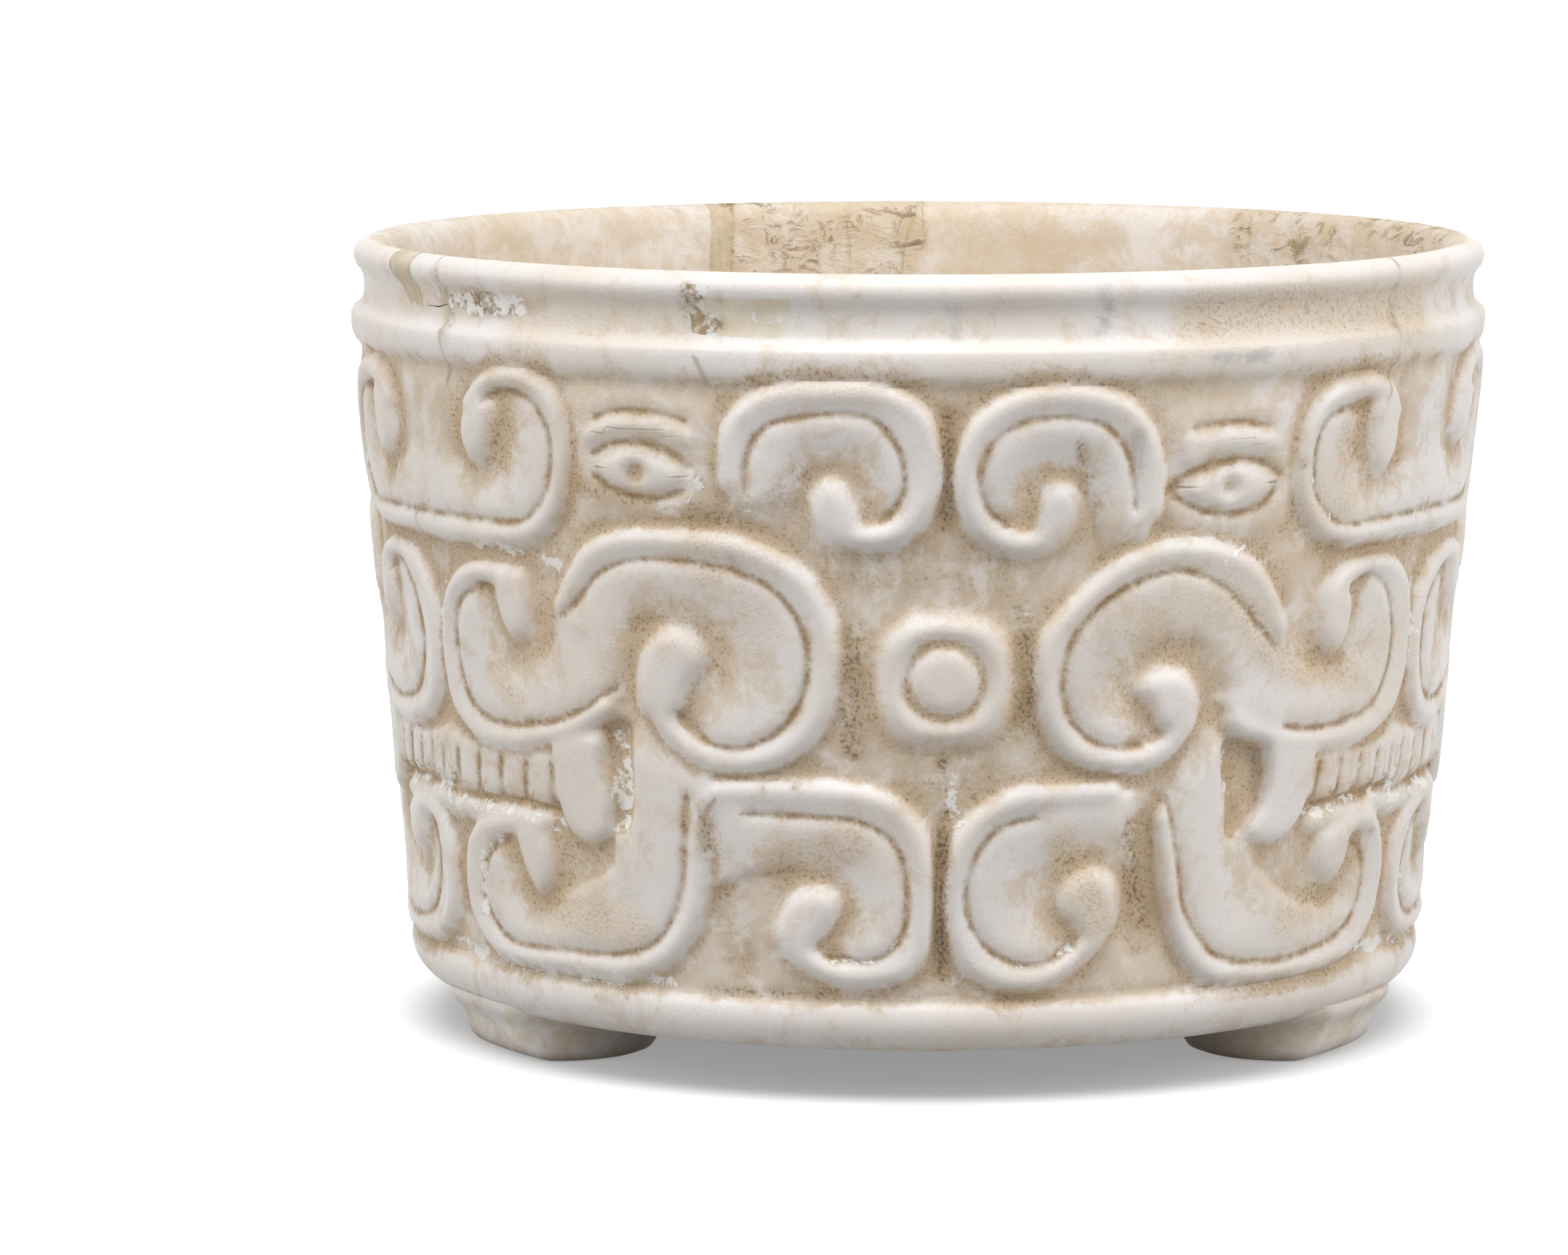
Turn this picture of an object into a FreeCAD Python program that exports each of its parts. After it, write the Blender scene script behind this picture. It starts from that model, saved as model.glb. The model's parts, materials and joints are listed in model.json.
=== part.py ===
import FreeCAD, Part
import math
import os
import Sketcher
from FreeCAD import Base

# A carved marble bowl on three low round feet, millimetres, +Z up.
# The origin is on the resting plane, on the bowl's turning axis, with the front of the carving at -Y.
# Angles are measured from the front, and grow towards +X, the right of someone who faces the bowl.

doc = FreeCAD.newDocument("marble_bowl")
sheet = doc.addObject("Spreadsheet::Sheet", "Sizes")

# The driving dimensions. Lengths are in millimetres and angles in degrees.
SIZES = [
    # The turned wall, from the resting plane up
    ("bowl_height", 81.0),
    ("foot_height", 4.8),
    ("base_height", 4.8),
    ("base_inset", 1.7),
    ("base_bulge", 1.2),
    ("wall_foot_radius", 51.9),
    ("wall_top_radius", 57.4),
    ("wall_thickness", 4.6),
    ("floor_thickness", 6.2),
    ("floor_round", 8.0),
    # The band, the hollow neck and the rim roll at the top of the wall
    ("band_height", 3.8),
    ("band_step", 0.8),
    ("band_bulge", 0.6),
    ("neck_height", 4.1),
    ("neck_hollow", 0.8),
    ("rim_height", 2.7),
    ("rim_step", 0.2),
    ("rim_bulge", 1.2),
    ("crown_inset", 0.8),
    ("lip_width", 2.6),
    ("lip_drop", 2.2),
    ("crown_bulge", 0.7),
    # The three feet
    ("foot_circle_radius", 41.0),
    ("foot_radius", 9.0),
    ("foot_flare_angle", 15.0),
    ("foot_root", 1.2),
    # The raised carving of each mask: how high it stands, its bands and forms, and its boss with a ring groove
    ("relief_height", 1.2),
    ("relief_root", 0.6),
    ("relief_margin", 0.3),
    ("band_outside", 1.4),
    ("band_inside", 2.4),
    ("curl_half_width", 1.9),
    ("form_half_width", 2.6),
    ("boss_angle", 1.5),
    ("boss_middle_height", 41.8),
    ("boss_half_width", 6.9),
    ("boss_half_rise", 7.1),
    ("boss_corner", 3.6),
    ("boss_ring_radius", 4.3),
    ("boss_disc_radius", 3.0),
    # The left wall sherd, which goes back from the front break to the rear filler
    ("left_break_angle", -56.0),
    ("left_sherd_sweep", 100.0),
    ("left_sherd_drop", 31.0),
    # The filler strip, the rear sherd and the splinter, which follow it round the back
    ("rear_filler_sweep", 2.5),
    ("rear_filler_drop", 23.0),
    ("rear_sherd_sweep", 14.5),
    ("rear_sherd_drop", 21.0),
    ("splinter_sweep", 7.0),
    ("splinter_drop", 15.0),
    # The right wall sherd
    ("right_break_angle", 53.0),
    ("right_sherd_sweep", 83.4),
    ("right_sherd_drop", 27.0),
    # The small sherd and the filler beside it, both in the rim of the left wall sherd
    ("rim_sherd_sweep", 5.0),
    ("rim_sherd_drop", 4.6),
    ("rim_filler_sweep", 5.5),
    ("rim_filler_drop", 5.2),
    # The filled chip under the front rim, and the patch beside it, both let into the wall's face
    ("chip_filler_angle", -23.5),
    ("chip_filler_sweep", 3.3),
    ("chip_filler_top_drop", 1.4),
    ("chip_filler_height", 4.6),
    ("chip_filler_depth", 2.6),
    ("patch_sweep", 6.8),
    ("patch_top_drop", 2.2),
    ("patch_height", 4.4),
    ("patch_depth", 1.3),
    # How far a cutting block runs past what it cuts
    ("overrun", 6.0),
]
size = dict(SIZES)
for row, (name, value) in enumerate(SIZES, start=1):
    sheet.set("A%d" % row, name)
    sheet.set("B%d" % row, str(value))
    sheet.setAlias("B%d" % row, name)
doc.recompute()

UP = Base.Vector(0, 0, 1)
MASKS = 3
FULL_TURN = 360.0
FRONT = -90.0
DRAWN_EXACTLY = 1e-6


def bound(terms):
    """The expression for a sum of named sizes, such as "bowl_height - rim_height"."""
    return " ".join(word if word in "+-0" else "Sizes." + word for word in terms.split())


def total(terms):
    """The same sum as a number, to draw a sketch with before it is bound."""
    value = 0.0
    sign = 1.0
    for word in terms.split():
        if word in "+-":
            sign = 1.0 if word == "+" else -1.0
        elif word != "0":
            value += sign * size[word]
            sign = 1.0
    return value


def new_body(name):
    body = doc.addObject("PartDesign::Body", name)
    body.Label = name
    return body


def origin_part(body, role):
    return next(feature for feature in body.Origin.OriginFeatures if feature.Role == role)


def new_sketch(body, name, plane_role):
    sketch = body.newObject("Sketcher::SketchObject", name)
    sketch.AttachmentSupport = (origin_part(body, plane_role), [""])
    sketch.MapMode = "FlatFace"
    return sketch


def bind(sketch, constraint, expression):
    index = sketch.addConstraint(constraint)
    sketch.setExpression("Constraints[%d]" % index, expression)


def arc_swell(chord, way, terms):
    """How far an edge leaves its chord, positive to the right of its way. It swells or dips by a named amount,
    or is a quarter round or a quarter hollow of a named radius."""
    amount = total(terms)
    if way in ("round", "hollow"):
        amount -= math.sqrt(amount ** 2 - (chord / 2) ** 2)
    return amount if way in ("swells", "round") else -amount


def arc_radius(way, terms, across, up):
    """The expression for that edge's radius."""
    if way in ("swells", "dips"):
        return "(%s^2 + %s^2) / (8 * %s) + %s / 2" % (across, up, bound(terms), bound(terms))
    return bound(terms)


def draw_outline(sketch, corners):
    """A closed outline. Each corner is two sums of sizes, x and y, and for a curved edge that leaves it also
    the way it curves and the size that says how much."""
    places = [Base.Vector(total(corner[0]), total(corner[1]), 0) for corner in corners]
    edges = []
    for number, (x, y, *curve) in enumerate(corners):
        start = places[number]
        end = places[(number + 1) % len(corners)]
        shape = Part.LineSegment(start, end)
        if curve:
            along = end - start
            swell = arc_swell(along.Length, *curve)
            right = Base.Vector(along.y, -along.x, 0).normalize()
            shape = Part.Arc(start, (start + end) * 0.5 + right * swell, end)
        edges.append(sketch.addGeometry(shape, False))
    tips = []
    for edge, place in zip(edges, places):
        forwards = sketch.getPoint(edge, 1).isEqual(place, DRAWN_EXACTLY)
        tips.append((1, 2) if forwards else (2, 1))
    for number, edge in enumerate(edges):
        after = (number + 1) % len(edges)
        link = Sketcher.Constraint("Coincident", edge, tips[number][1], edges[after], tips[after][0])
        sketch.addConstraint(link)
    for number, (x, y, *curve) in enumerate(corners):
        edge = edges[number]
        tip = tips[number][0]
        place = places[number]
        for kind, terms, value in (("DistanceX", x, place.x), ("DistanceY", y, place.y)):
            bind(sketch, Sketcher.Constraint(kind, -1, 1, edge, tip, value), bound(terms))
        if curve:
            after = corners[(number + 1) % len(corners)]
            across = "(%s - (%s))" % (bound(after[0]), bound(x))
            up = "(%s - (%s))" % (bound(after[1]), bound(y))
            drawn = sketch.Geometry[edge].Radius
            radius = arc_radius(*curve, across, up)
            bind(sketch, Sketcher.Constraint("Radius", edge, drawn), radius)


def draw_circle(sketch, radius, x="0", y="0"):
    """A circle of a named radius, with its centre at two sums of sizes."""
    middle = Base.Vector(total(x), total(y), 0)
    circle = sketch.addGeometry(Part.Circle(middle, UP, size[radius]), False)
    bind(sketch, Sketcher.Constraint("Radius", circle, size[radius]), bound(radius))
    for kind, terms, value in (("DistanceX", x, middle.x), ("DistanceY", y, middle.y)):
        if terms == "0":
            flat = -2 if kind == "DistanceX" else -1
            sketch.addConstraint(Sketcher.Constraint("PointOnObject", circle, 3, flat))
        else:
            bind(sketch, Sketcher.Constraint(kind, -1, 1, circle, 3, value), bound(terms))


def turned(body, sketch, name):
    """A full turn of a sketch about the bowl's axis."""
    turning = body.newObject("PartDesign::Revolution", name)
    turning.Profile = sketch
    turning.ReferenceAxis = (sketch, ["V_Axis"])
    turning.Angle = FULL_TURN
    sketch.Visibility = False


def turn_to(thing, angle_terms, from_front=True):
    """Turns a thing about the bowl's axis to a sum of angles. One that is drawn at +X starts a quarter turn
    from the front."""
    thing.Placement = FreeCAD.Placement(Base.Vector(), FreeCAD.Rotation(UP, 1))
    shift = "" if from_front else " + (%s)" % FRONT
    thing.setExpression(".Placement.Rotation.Angle", bound(angle_terms) + shift)


def three_times(body, feature, name):
    """Repeats a feature for the three masks round the bowl, and makes that the body's result."""
    pattern = body.newObject("PartDesign::PolarPattern", name)
    pattern.Originals = [feature]
    pattern.Axis = (origin_part(body, "Z_Axis"), [""])
    pattern.Angle = FULL_TURN
    pattern.Occurrences = MASKS
    body.Tip = pattern


def radial_prisms(body, sketch, name):
    """Pads an outline from the bowl's axis out through the front of the wall, once for each mask."""
    prism = body.newObject("PartDesign::Pad", name)
    prism.Profile = sketch
    prism.Length = total("wall_top_radius + overrun")
    prism.setExpression("Length", bound("wall_top_radius + overrun"))
    sketch.Visibility = False
    three_times(body, prism, name + "_round")


def joined(name, things):
    fuse = doc.addObject("Part::MultiFuse", name)
    fuse.Label = name
    fuse.Shapes = things
    return fuse


def shared(name, things):
    common = doc.addObject("Part::MultiCommon", name)
    common.Label = name
    common.Shapes = things
    return common


def without(name, base, tool):
    cut = doc.addObject("Part::Cut", name)
    cut.Label = name
    cut.Base = base
    cut.Tool = tool
    return cut


def sector(name, radius_terms, start_terms, sweep, foot_terms, height_terms):
    """A slice of a cylinder about the bowl's axis, from one angle on through a sweep."""
    wedge = doc.addObject("Part::Cylinder", name)
    wedge.Label = name
    turn_to(wedge, start_terms, from_front=False)
    wedge.setExpression("Radius", bound(radius_terms))
    wedge.setExpression("Angle", bound(sweep))
    wedge.setExpression("Height", bound(height_terms))
    wedge.setExpression(".Placement.Base.z", bound(foot_terms))
    return wedge


def wall_block(name, start_terms, sweep, drop):
    """The block that holds a piece broken through the whole wall, down to a drop below the rim."""
    return sector(name + "_block", "wall_top_radius + overrun", start_terms, sweep,
                  "bowl_height - " + drop, drop + " + overrun")


def face_block(name, start_terms, sweep, top_drop, height, depth):
    """The block that holds a piece let into the outer face of the wall to a depth."""
    foot_terms = "bowl_height - %s - %s" % (top_drop, height)
    outside = sector(name + "_outside", "wall_top_radius + overrun", start_terms, sweep, foot_terms, height)
    inside = "wall_top_radius + rim_step - " + depth
    core = sector(name + "_core", inside, start_terms, sweep, foot_terms, height)
    return without(name + "_block", outside, core)


# Turned form: the floor, the tapered wall, the band, the neck and the rim roll, worked from one block
form = new_body("turned_form")
profile = new_sketch(form, "turned_profile", "XZ_Plane")
BAND_TOP = "bowl_height - rim_height - neck_height"
BAND_FOOT = BAND_TOP + " - band_height"
RIM_FOOT = "bowl_height - rim_height"
CROWN = "wall_top_radius + rim_step - crown_inset"
FLOOR = "foot_height + floor_thickness"
draw_outline(profile, [
    ("0", "foot_height"),
    ("wall_foot_radius - base_inset", "foot_height", "swells", "base_bulge"),
    ("wall_foot_radius", "foot_height + base_height"),
    ("wall_top_radius", BAND_FOOT, "swells", "band_bulge"),
    ("wall_top_radius + band_step", BAND_TOP, "dips", "neck_hollow"),
    ("wall_top_radius + rim_step", RIM_FOOT, "swells", "rim_bulge"),
    (CROWN, "bowl_height", "swells", "crown_bulge"),
    (CROWN + " - lip_width", "bowl_height - lip_drop"),
    ("wall_foot_radius - wall_thickness", FLOOR + " + floor_round", "hollow", "floor_round"),
    ("wall_foot_radius - wall_thickness - floor_round", FLOOR),
    ("0", FLOOR),
])
turned(form, profile, "turned_wall")

# Feet: three low discs that flare into the underside, left standing when the underside was cut back
foot_sketch = new_sketch(form, "foot_circle", "XY_Plane")
draw_circle(foot_sketch, "foot_radius", y="foot_circle_radius")
foot = form.newObject("PartDesign::Pad", "rear_foot")
foot.Profile = foot_sketch
foot.Length = total("foot_height + foot_root")
foot.setExpression("Length", bound("foot_height + foot_root"))
foot.TaperAngle = size["foot_flare_angle"]
foot.setExpression("TaperAngle", bound("foot_flare_angle"))
foot_sketch.Visibility = False
three_times(form, foot, "three_feet")

# Relief: the layer between the ground of the carving and its crests, and the bosses that stand in it
layer = new_body("relief_layer")
layer_sketch = new_sketch(layer, "layer_section", "XZ_Plane")
LAYER_FOOT = "foot_height + base_height + relief_margin"
LAYER_TOP = BAND_FOOT + " - relief_margin"
draw_outline(layer_sketch, [
    ("wall_foot_radius - relief_root", LAYER_FOOT),
    ("wall_foot_radius + relief_height", LAYER_FOOT),
    ("wall_top_radius + relief_height", LAYER_TOP),
    ("wall_top_radius - relief_root", LAYER_TOP),
])
turned(layer, layer_sketch, "turned_layer")

boss = new_body("boss_prisms")
boss_sketch = new_sketch(boss, "boss_outline", "XZ_Plane")
BOSS_LOW = "boss_middle_height - boss_half_rise"
BOSS_HIGH = "boss_middle_height + boss_half_rise"
draw_outline(boss_sketch, [
    ("0 - boss_half_width + boss_corner", BOSS_LOW),
    ("boss_half_width - boss_corner", BOSS_LOW, "round", "boss_corner"),
    ("boss_half_width", BOSS_LOW + " + boss_corner"),
    ("boss_half_width", BOSS_HIGH + " - boss_corner", "round", "boss_corner"),
    ("boss_half_width - boss_corner", BOSS_HIGH),
    ("0 - boss_half_width + boss_corner", BOSS_HIGH, "round", "boss_corner"),
    ("0 - boss_half_width", BOSS_HIGH + " - boss_corner"),
    ("0 - boss_half_width", BOSS_LOW + " + boss_corner", "round", "boss_corner"),
])
draw_circle(boss_sketch, "boss_ring_radius", y="boss_middle_height")
radial_prisms(boss, boss_sketch, "boss_rays")

disc = new_body("disc_prisms")
disc_sketch = new_sketch(disc, "disc_outline", "XZ_Plane")
draw_circle(disc_sketch, "boss_disc_radius", y="boss_middle_height")
radial_prisms(disc, disc_sketch, "disc_rays")

for prisms in (boss, disc):
    turn_to(prisms, "boss_angle")
boss_relief = shared("boss_relief", [boss, layer])
disc_relief = shared("disc_relief", [disc, layer])

# Scrolls: the broad bands of each mask, the curls that end them, and the eyes, fangs, gums and cheeks between
# them. A place is an angle from the middle of the mask and a share of the height that is carved.
BAND_SHARES = {
    "left_nose_scroll": [(-19.5, 0.845), (-18.6, 0.93), (-15, 0.965), (-10, 0.975), (-4, 0.965), (-0.6, 0.92),
                         (0, 0.86), (-1, 0.8), (-4, 0.762), (-8, 0.765)],
    "right_nose_scroll": [(22, 0.8), (22, 0.87), (20.6, 0.925), (17.5, 0.96), (13, 0.975), (8.5, 0.965),
                          (5, 0.925), (3.6, 0.86), (4.2, 0.8), (6, 0.76), (10.5, 0.75)],
    "left_lip_scroll": [(-39.3, 0.63), (-37, 0.68), (-33.5, 0.72), (-29, 0.74), (-24, 0.74), (-18.5, 0.73),
                        (-14, 0.7), (-11, 0.64), (-10.3, 0.56), (-11.2, 0.48), (-14, 0.42), (-18, 0.4),
                        (-22, 0.4), (-26, 0.43), (-28.5, 0.475)],
    "right_lip_scroll": [(38, 0.59), (36, 0.65), (33, 0.69), (28, 0.715), (23, 0.715), (18.5, 0.685),
                         (14.5, 0.635), (12, 0.57), (12, 0.49), (14, 0.43), (18, 0.4), (22.5, 0.4), (26.5, 0.435)],
    "left_mouth_hook": [(-45.6, 0.66), (-50, 0.665), (-54, 0.65), (-56.8, 0.615), (-57.8, 0.55), (-57.4, 0.48),
                        (-55, 0.425), (-51, 0.4), (-45, 0.4), (-40, 0.425), (-36, 0.455), (-33, 0.5)],
    "right_mouth_hook": [(45.5, 0.64), (48.5, 0.665), (52, 0.675), (55.5, 0.66), (57.8, 0.62), (58.6, 0.55),
                         (58, 0.48), (55.5, 0.425), (51, 0.4), (46, 0.4), (40, 0.41), (35, 0.435), (31, 0.48)],
    "ear_hooks": [(53, 0.92), (51, 0.95), (47.5, 0.965), (43.5, 0.95), (41, 0.91), (40.2, 0.85), (41, 0.79),
                  (44, 0.745), (50, 0.73), (60, 0.73), (70, 0.73), (76, 0.745), (79.4, 0.78), (81.3, 0.83),
                  (81.5, 0.89), (80.3, 0.945), (77.5, 0.972), (74, 0.972), (70.5, 0.95)],
    "left_chin_scroll": [(-21, 0.34), (-15, 0.345), (-8, 0.34), (-4, 0.325), (-1.6, 0.29), (-0.8, 0.23),
                         (-0.8, 0.16), (-2, 0.095), (-5, 0.06), (-9, 0.055), (-13, 0.08)],
    "right_chin_scroll": [(18.5, 0.34), (13, 0.335), (8.5, 0.325), (4.8, 0.29), (3, 0.23), (3, 0.16),
                          (4.4, 0.09), (8, 0.055), (12, 0.052), (16, 0.085)],
    "left_jaw": [(-45.5, 0.255), (-50, 0.25), (-54, 0.23), (-56.8, 0.19), (-57.4, 0.13), (-55.6, 0.075),
                 (-52, 0.05), (-46, 0.045), (-40, 0.045), (-34, 0.05), (-29.5, 0.075), (-26.2, 0.13),
                 (-24.9, 0.2), (-24.2, 0.28), (-23.5, 0.33)],
    "right_jaw": [(48.5, 0.22), (52, 0.245), (55.5, 0.235), (57.8, 0.19), (58, 0.13), (56, 0.075), (51, 0.045),
                  (45, 0.042), (40, 0.042), (35, 0.045), (31, 0.065), (28.2, 0.12), (26.8, 0.19), (25.6, 0.27),
                  (25, 0.32)],
}
CURL_SHARES = {
    "left_nose_curl": [(-9.2, 0.765), (-9.4, 0.825)],
    "right_nose_curl": [(12.2, 0.755), (12.4, 0.82)],
    "left_lip_curl": [(-28.8, 0.5), (-26.6, 0.555), (-23.2, 0.56)],
    "right_lip_curl": [(27.2, 0.45), (25.4, 0.5), (22.6, 0.51)],
    "left_hook_curl": [(-46.4, 0.65), (-46.5, 0.575)],
    "right_hook_curl": [(46.2, 0.64), (46.4, 0.565)],
    "right_ear_curl": [(51.6, 0.93), (51.6, 0.85)],
    "left_ear_curl": [(69.8, 0.94), (69.9, 0.87)],
    "left_chin_curl": [(-15, 0.105), (-13.5, 0.15), (-11.2, 0.165)],
    "right_chin_curl": [(18.4, 0.125), (17.2, 0.17), (14.8, 0.19)],
    "left_jaw_curl": [(-46, 0.245), (-45.6, 0.175)],
    "right_jaw_curl": [(49, 0.225), (49.8, 0.18)],
    "left_eye": [(-32, 0.86), (-26.8, 0.862)],
    "right_eye": [(28, 0.83), (33.4, 0.832)],
}
FORM_SHARES = {
    "left_fang": [(-38.6, 0.4), (-37.8, 0.28)],
    "right_fang": [(41.3, 0.4), (40.1, 0.28)],
    "gums": [(45.5, 0.34), (60, 0.337), (76.5, 0.34)],
    "left_cheek": [(-29, 0.17), (-29, 0.42)],
    "right_cheek": [(30, 0.17), (29.8, 0.42)],
}
PLACES_PER_ARC = 2.5
STRAIGHT_WITHIN = 0.002


def carved_place(angle, share, facing):
    """A place of the carving as it is seen square on from one side, in the plane through the bowl's axis."""
    low = total("foot_height + base_height")
    height = low + share * (total(BAND_FOOT) - low)
    taper = size["wall_top_radius"] - size["wall_foot_radius"]
    radius = size["wall_foot_radius"] + share * taper + size["relief_height"]
    return Base.Vector(radius * math.sin(math.radians(angle - facing)), 0, height)


def arcs_through(places):
    """Edges through places: an arc through each three of them, or a straight edge where they lie in line."""
    edges = []
    for start, middle, end in zip(places[::2], places[1::2], places[2::2]):
        straight = (start + end) * 0.5 - middle
        way = (end - start).normalize()
        if (straight - way * straight.dot(way)).Length < STRAIGHT_WITHIN:
            edges.append(Part.LineSegment(start, end).toShape())
        else:
            edges.append(Part.Arc(start, middle, end).toShape())
    return edges


def band_outline(places, outside, inside):
    """The closed outline of a band that lies along a line, wider to the side that the line curls to."""
    middle = Part.BSplineCurve()
    middle.interpolate(places)
    curl = sum((b - a).cross(c - b).y for a, b, c in zip(places, places[1:], places[2:]))
    right, left = (outside, inside) if curl < 0 else (inside, outside)
    count = 2 * math.ceil((len(places) - 1) / PLACES_PER_ARC)
    step = (middle.LastParameter - middle.FirstParameter) / count
    sides = ([], [])
    for number in range(count + 1):
        at = middle.FirstParameter + step * number
        along = middle.tangent(at)[0]
        across = Base.Vector(along.z, 0, -along.x)
        sides[0].append(middle.value(at) + across * right)
        sides[1].append(middle.value(at) - across * left)
    tips = []
    for end, at, way in ((0, middle.FirstParameter, -0.5), (-1, middle.LastParameter, 0.5)):
        tip = (sides[0][end] + sides[1][end]) * 0.5 + middle.tangent(at)[0] * (way * (outside + inside))
        tips.append(Part.Arc(sides[0][end], tip, sides[1][end]).toShape())
    return Part.Wire([*arcs_through(sides[0]), tips[1], *reversed(arcs_through(sides[1])), tips[0]])


def band_relief(places_share, outside, inside):
    """A band of the carving between the ground and its crest, on the first mask."""
    angles = [angle for angle, share in places_share]
    facing = (min(angles) + max(angles)) * 0.5
    outline = band_outline([carved_place(*place, facing) for place in places_share], outside, inside)
    ray = Part.Face(outline).extrude(Base.Vector(0, -total("wall_top_radius + overrun"), 0))
    ray.rotate(Base.Vector(), UP, facing)
    return ray.common(layer.Shape)


doc.recompute()
bands = []
for shares, outside, inside in ((BAND_SHARES, "band_outside", "band_inside"),
                                (CURL_SHARES, "curl_half_width", "curl_half_width"),
                                (FORM_SHARES, "form_half_width", "form_half_width")):
    bands += [band_relief(places, size[outside], size[inside]) for places in shares.values()]
one_mask = bands[0].multiFuse(bands[1:])
scrolls = doc.addObject("Part::Feature", "scroll_relief")
scrolls.Label = "scroll_relief"
mask_copies = [one_mask.copy() for mask in range(MASKS)]
for mask, copy in enumerate(mask_copies):
    copy.rotate(Base.Vector(), UP, mask * FULL_TURN / MASKS)
scrolls.Shape = mask_copies[0].multiFuse(mask_copies[1:])
carved_form = joined("carved_form", [form, boss_relief, disc_relief, scrolls])

# Breaks: each sherd and filler is the part of the wall that lies in its own block
LEFT_END = "left_break_angle - left_sherd_sweep"
REAR_FILLER_END = LEFT_END + " - rear_filler_sweep"
REAR_SHERD_END = REAR_FILLER_END + " - rear_sherd_sweep"
SPLINTER_END = REAR_SHERD_END + " - splinter_sweep"
RIM_SHERD_START = "left_break_angle - rim_sherd_sweep"
blocks = {
    "left_wall_sherd": wall_block("left_wall", LEFT_END, "left_sherd_sweep", "left_sherd_drop"),
    "rear_filler_strip": wall_block("rear_filler", REAR_FILLER_END, "rear_filler_sweep", "rear_filler_drop"),
    "rear_wall_sherd": wall_block("rear_wall", REAR_SHERD_END, "rear_sherd_sweep", "rear_sherd_drop"),
    "rear_splinter": wall_block("splinter", SPLINTER_END, "splinter_sweep", "splinter_drop"),
    "right_wall_sherd": wall_block("right_wall", "right_break_angle", "right_sherd_sweep", "right_sherd_drop"),
    "rim_sherd": wall_block("rim_sherd", RIM_SHERD_START, "rim_sherd_sweep", "rim_sherd_drop"),
    "rim_filler": wall_block("rim_filler", RIM_SHERD_START + " - rim_filler_sweep", "rim_filler_sweep",
                             "rim_filler_drop"),
    "chip_filler": face_block("chip_filler", "chip_filler_angle", "chip_filler_sweep",
                              "chip_filler_top_drop", "chip_filler_height", "chip_filler_depth"),
    "neck_patch": face_block("neck_patch", "chip_filler_angle + chip_filler_sweep", "patch_sweep",
                             "patch_top_drop", "patch_height", "patch_depth"),
}

# The small rim pieces come out of the left wall sherd, so its own block is cut back by theirs
RIM_PIECES = ("rim_sherd", "rim_filler")
pieces = []
for name, block in blocks.items():
    if name == "left_wall_sherd":
        whole_sherd = shared("whole_left_wall", [carved_form, block])
        rim_blocks = joined("rim_blocks", [blocks[rim_piece] for rim_piece in RIM_PIECES])
        pieces.append(without(name, whole_sherd, rim_blocks))
    else:
        pieces.append(shared(name, [carved_form, block]))
pieces.append(without("bowl_body", carved_form, joined("all_blocks", list(blocks.values()))))
doc.recompute()

# Every object of the document has to be sound before anything is written
for thing in doc.Objects:
    if "Invalid" in thing.State or "Error" in thing.State:
        raise ValueError("%s did not build: %s" % (thing.Label, thing.State))
for piece in pieces:
    if piece.Shape.isNull() or not piece.Shape.isValid() or len(piece.Shape.Solids) != 1:
        raise ValueError("%s is not one sound solid" % piece.Label)

os.makedirs("parts", exist_ok=True)
for piece in pieces:
    piece.Shape.exportStep("parts/%s.step" % piece.Label)
    box = piece.Shape.optimalBoundingBox(False)
    print("%-18s %9.1f mm3  x %.1f..%.1f  y %.1f..%.1f  z %.1f..%.1f" % (
        piece.Label, piece.Shape.Volume, box.XMin, box.XMax, box.YMin, box.YMax, box.ZMin, box.ZMax))
pieces_volume = sum(piece.Shape.Volume for piece in pieces)
print("all pieces %.1f mm3, unbroken bowl %.1f mm3" % (pieces_volume, carved_form.Shape.Volume))
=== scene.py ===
import json
import math

import bmesh
import bpy
import numpy as np
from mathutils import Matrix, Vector, noise

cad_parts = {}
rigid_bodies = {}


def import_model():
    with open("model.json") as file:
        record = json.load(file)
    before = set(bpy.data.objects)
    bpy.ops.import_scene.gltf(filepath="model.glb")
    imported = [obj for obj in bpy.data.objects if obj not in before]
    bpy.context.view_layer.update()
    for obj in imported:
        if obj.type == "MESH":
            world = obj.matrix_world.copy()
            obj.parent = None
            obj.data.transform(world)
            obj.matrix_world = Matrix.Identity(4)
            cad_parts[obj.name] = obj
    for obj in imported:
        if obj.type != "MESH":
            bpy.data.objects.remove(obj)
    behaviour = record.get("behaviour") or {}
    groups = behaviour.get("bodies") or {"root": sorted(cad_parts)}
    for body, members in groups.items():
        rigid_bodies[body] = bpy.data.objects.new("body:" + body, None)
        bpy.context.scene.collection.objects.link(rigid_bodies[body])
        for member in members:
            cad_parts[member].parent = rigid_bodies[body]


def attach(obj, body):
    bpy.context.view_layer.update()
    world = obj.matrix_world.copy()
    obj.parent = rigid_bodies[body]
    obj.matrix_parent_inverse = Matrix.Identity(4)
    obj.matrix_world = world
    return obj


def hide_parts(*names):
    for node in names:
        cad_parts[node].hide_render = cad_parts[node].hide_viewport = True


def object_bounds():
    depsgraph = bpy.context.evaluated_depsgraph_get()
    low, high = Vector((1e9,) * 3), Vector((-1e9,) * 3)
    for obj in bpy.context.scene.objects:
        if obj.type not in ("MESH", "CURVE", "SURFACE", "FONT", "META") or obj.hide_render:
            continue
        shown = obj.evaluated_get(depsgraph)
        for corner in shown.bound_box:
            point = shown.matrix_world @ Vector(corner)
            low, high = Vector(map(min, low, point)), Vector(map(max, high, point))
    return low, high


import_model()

CAD_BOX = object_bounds()

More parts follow.
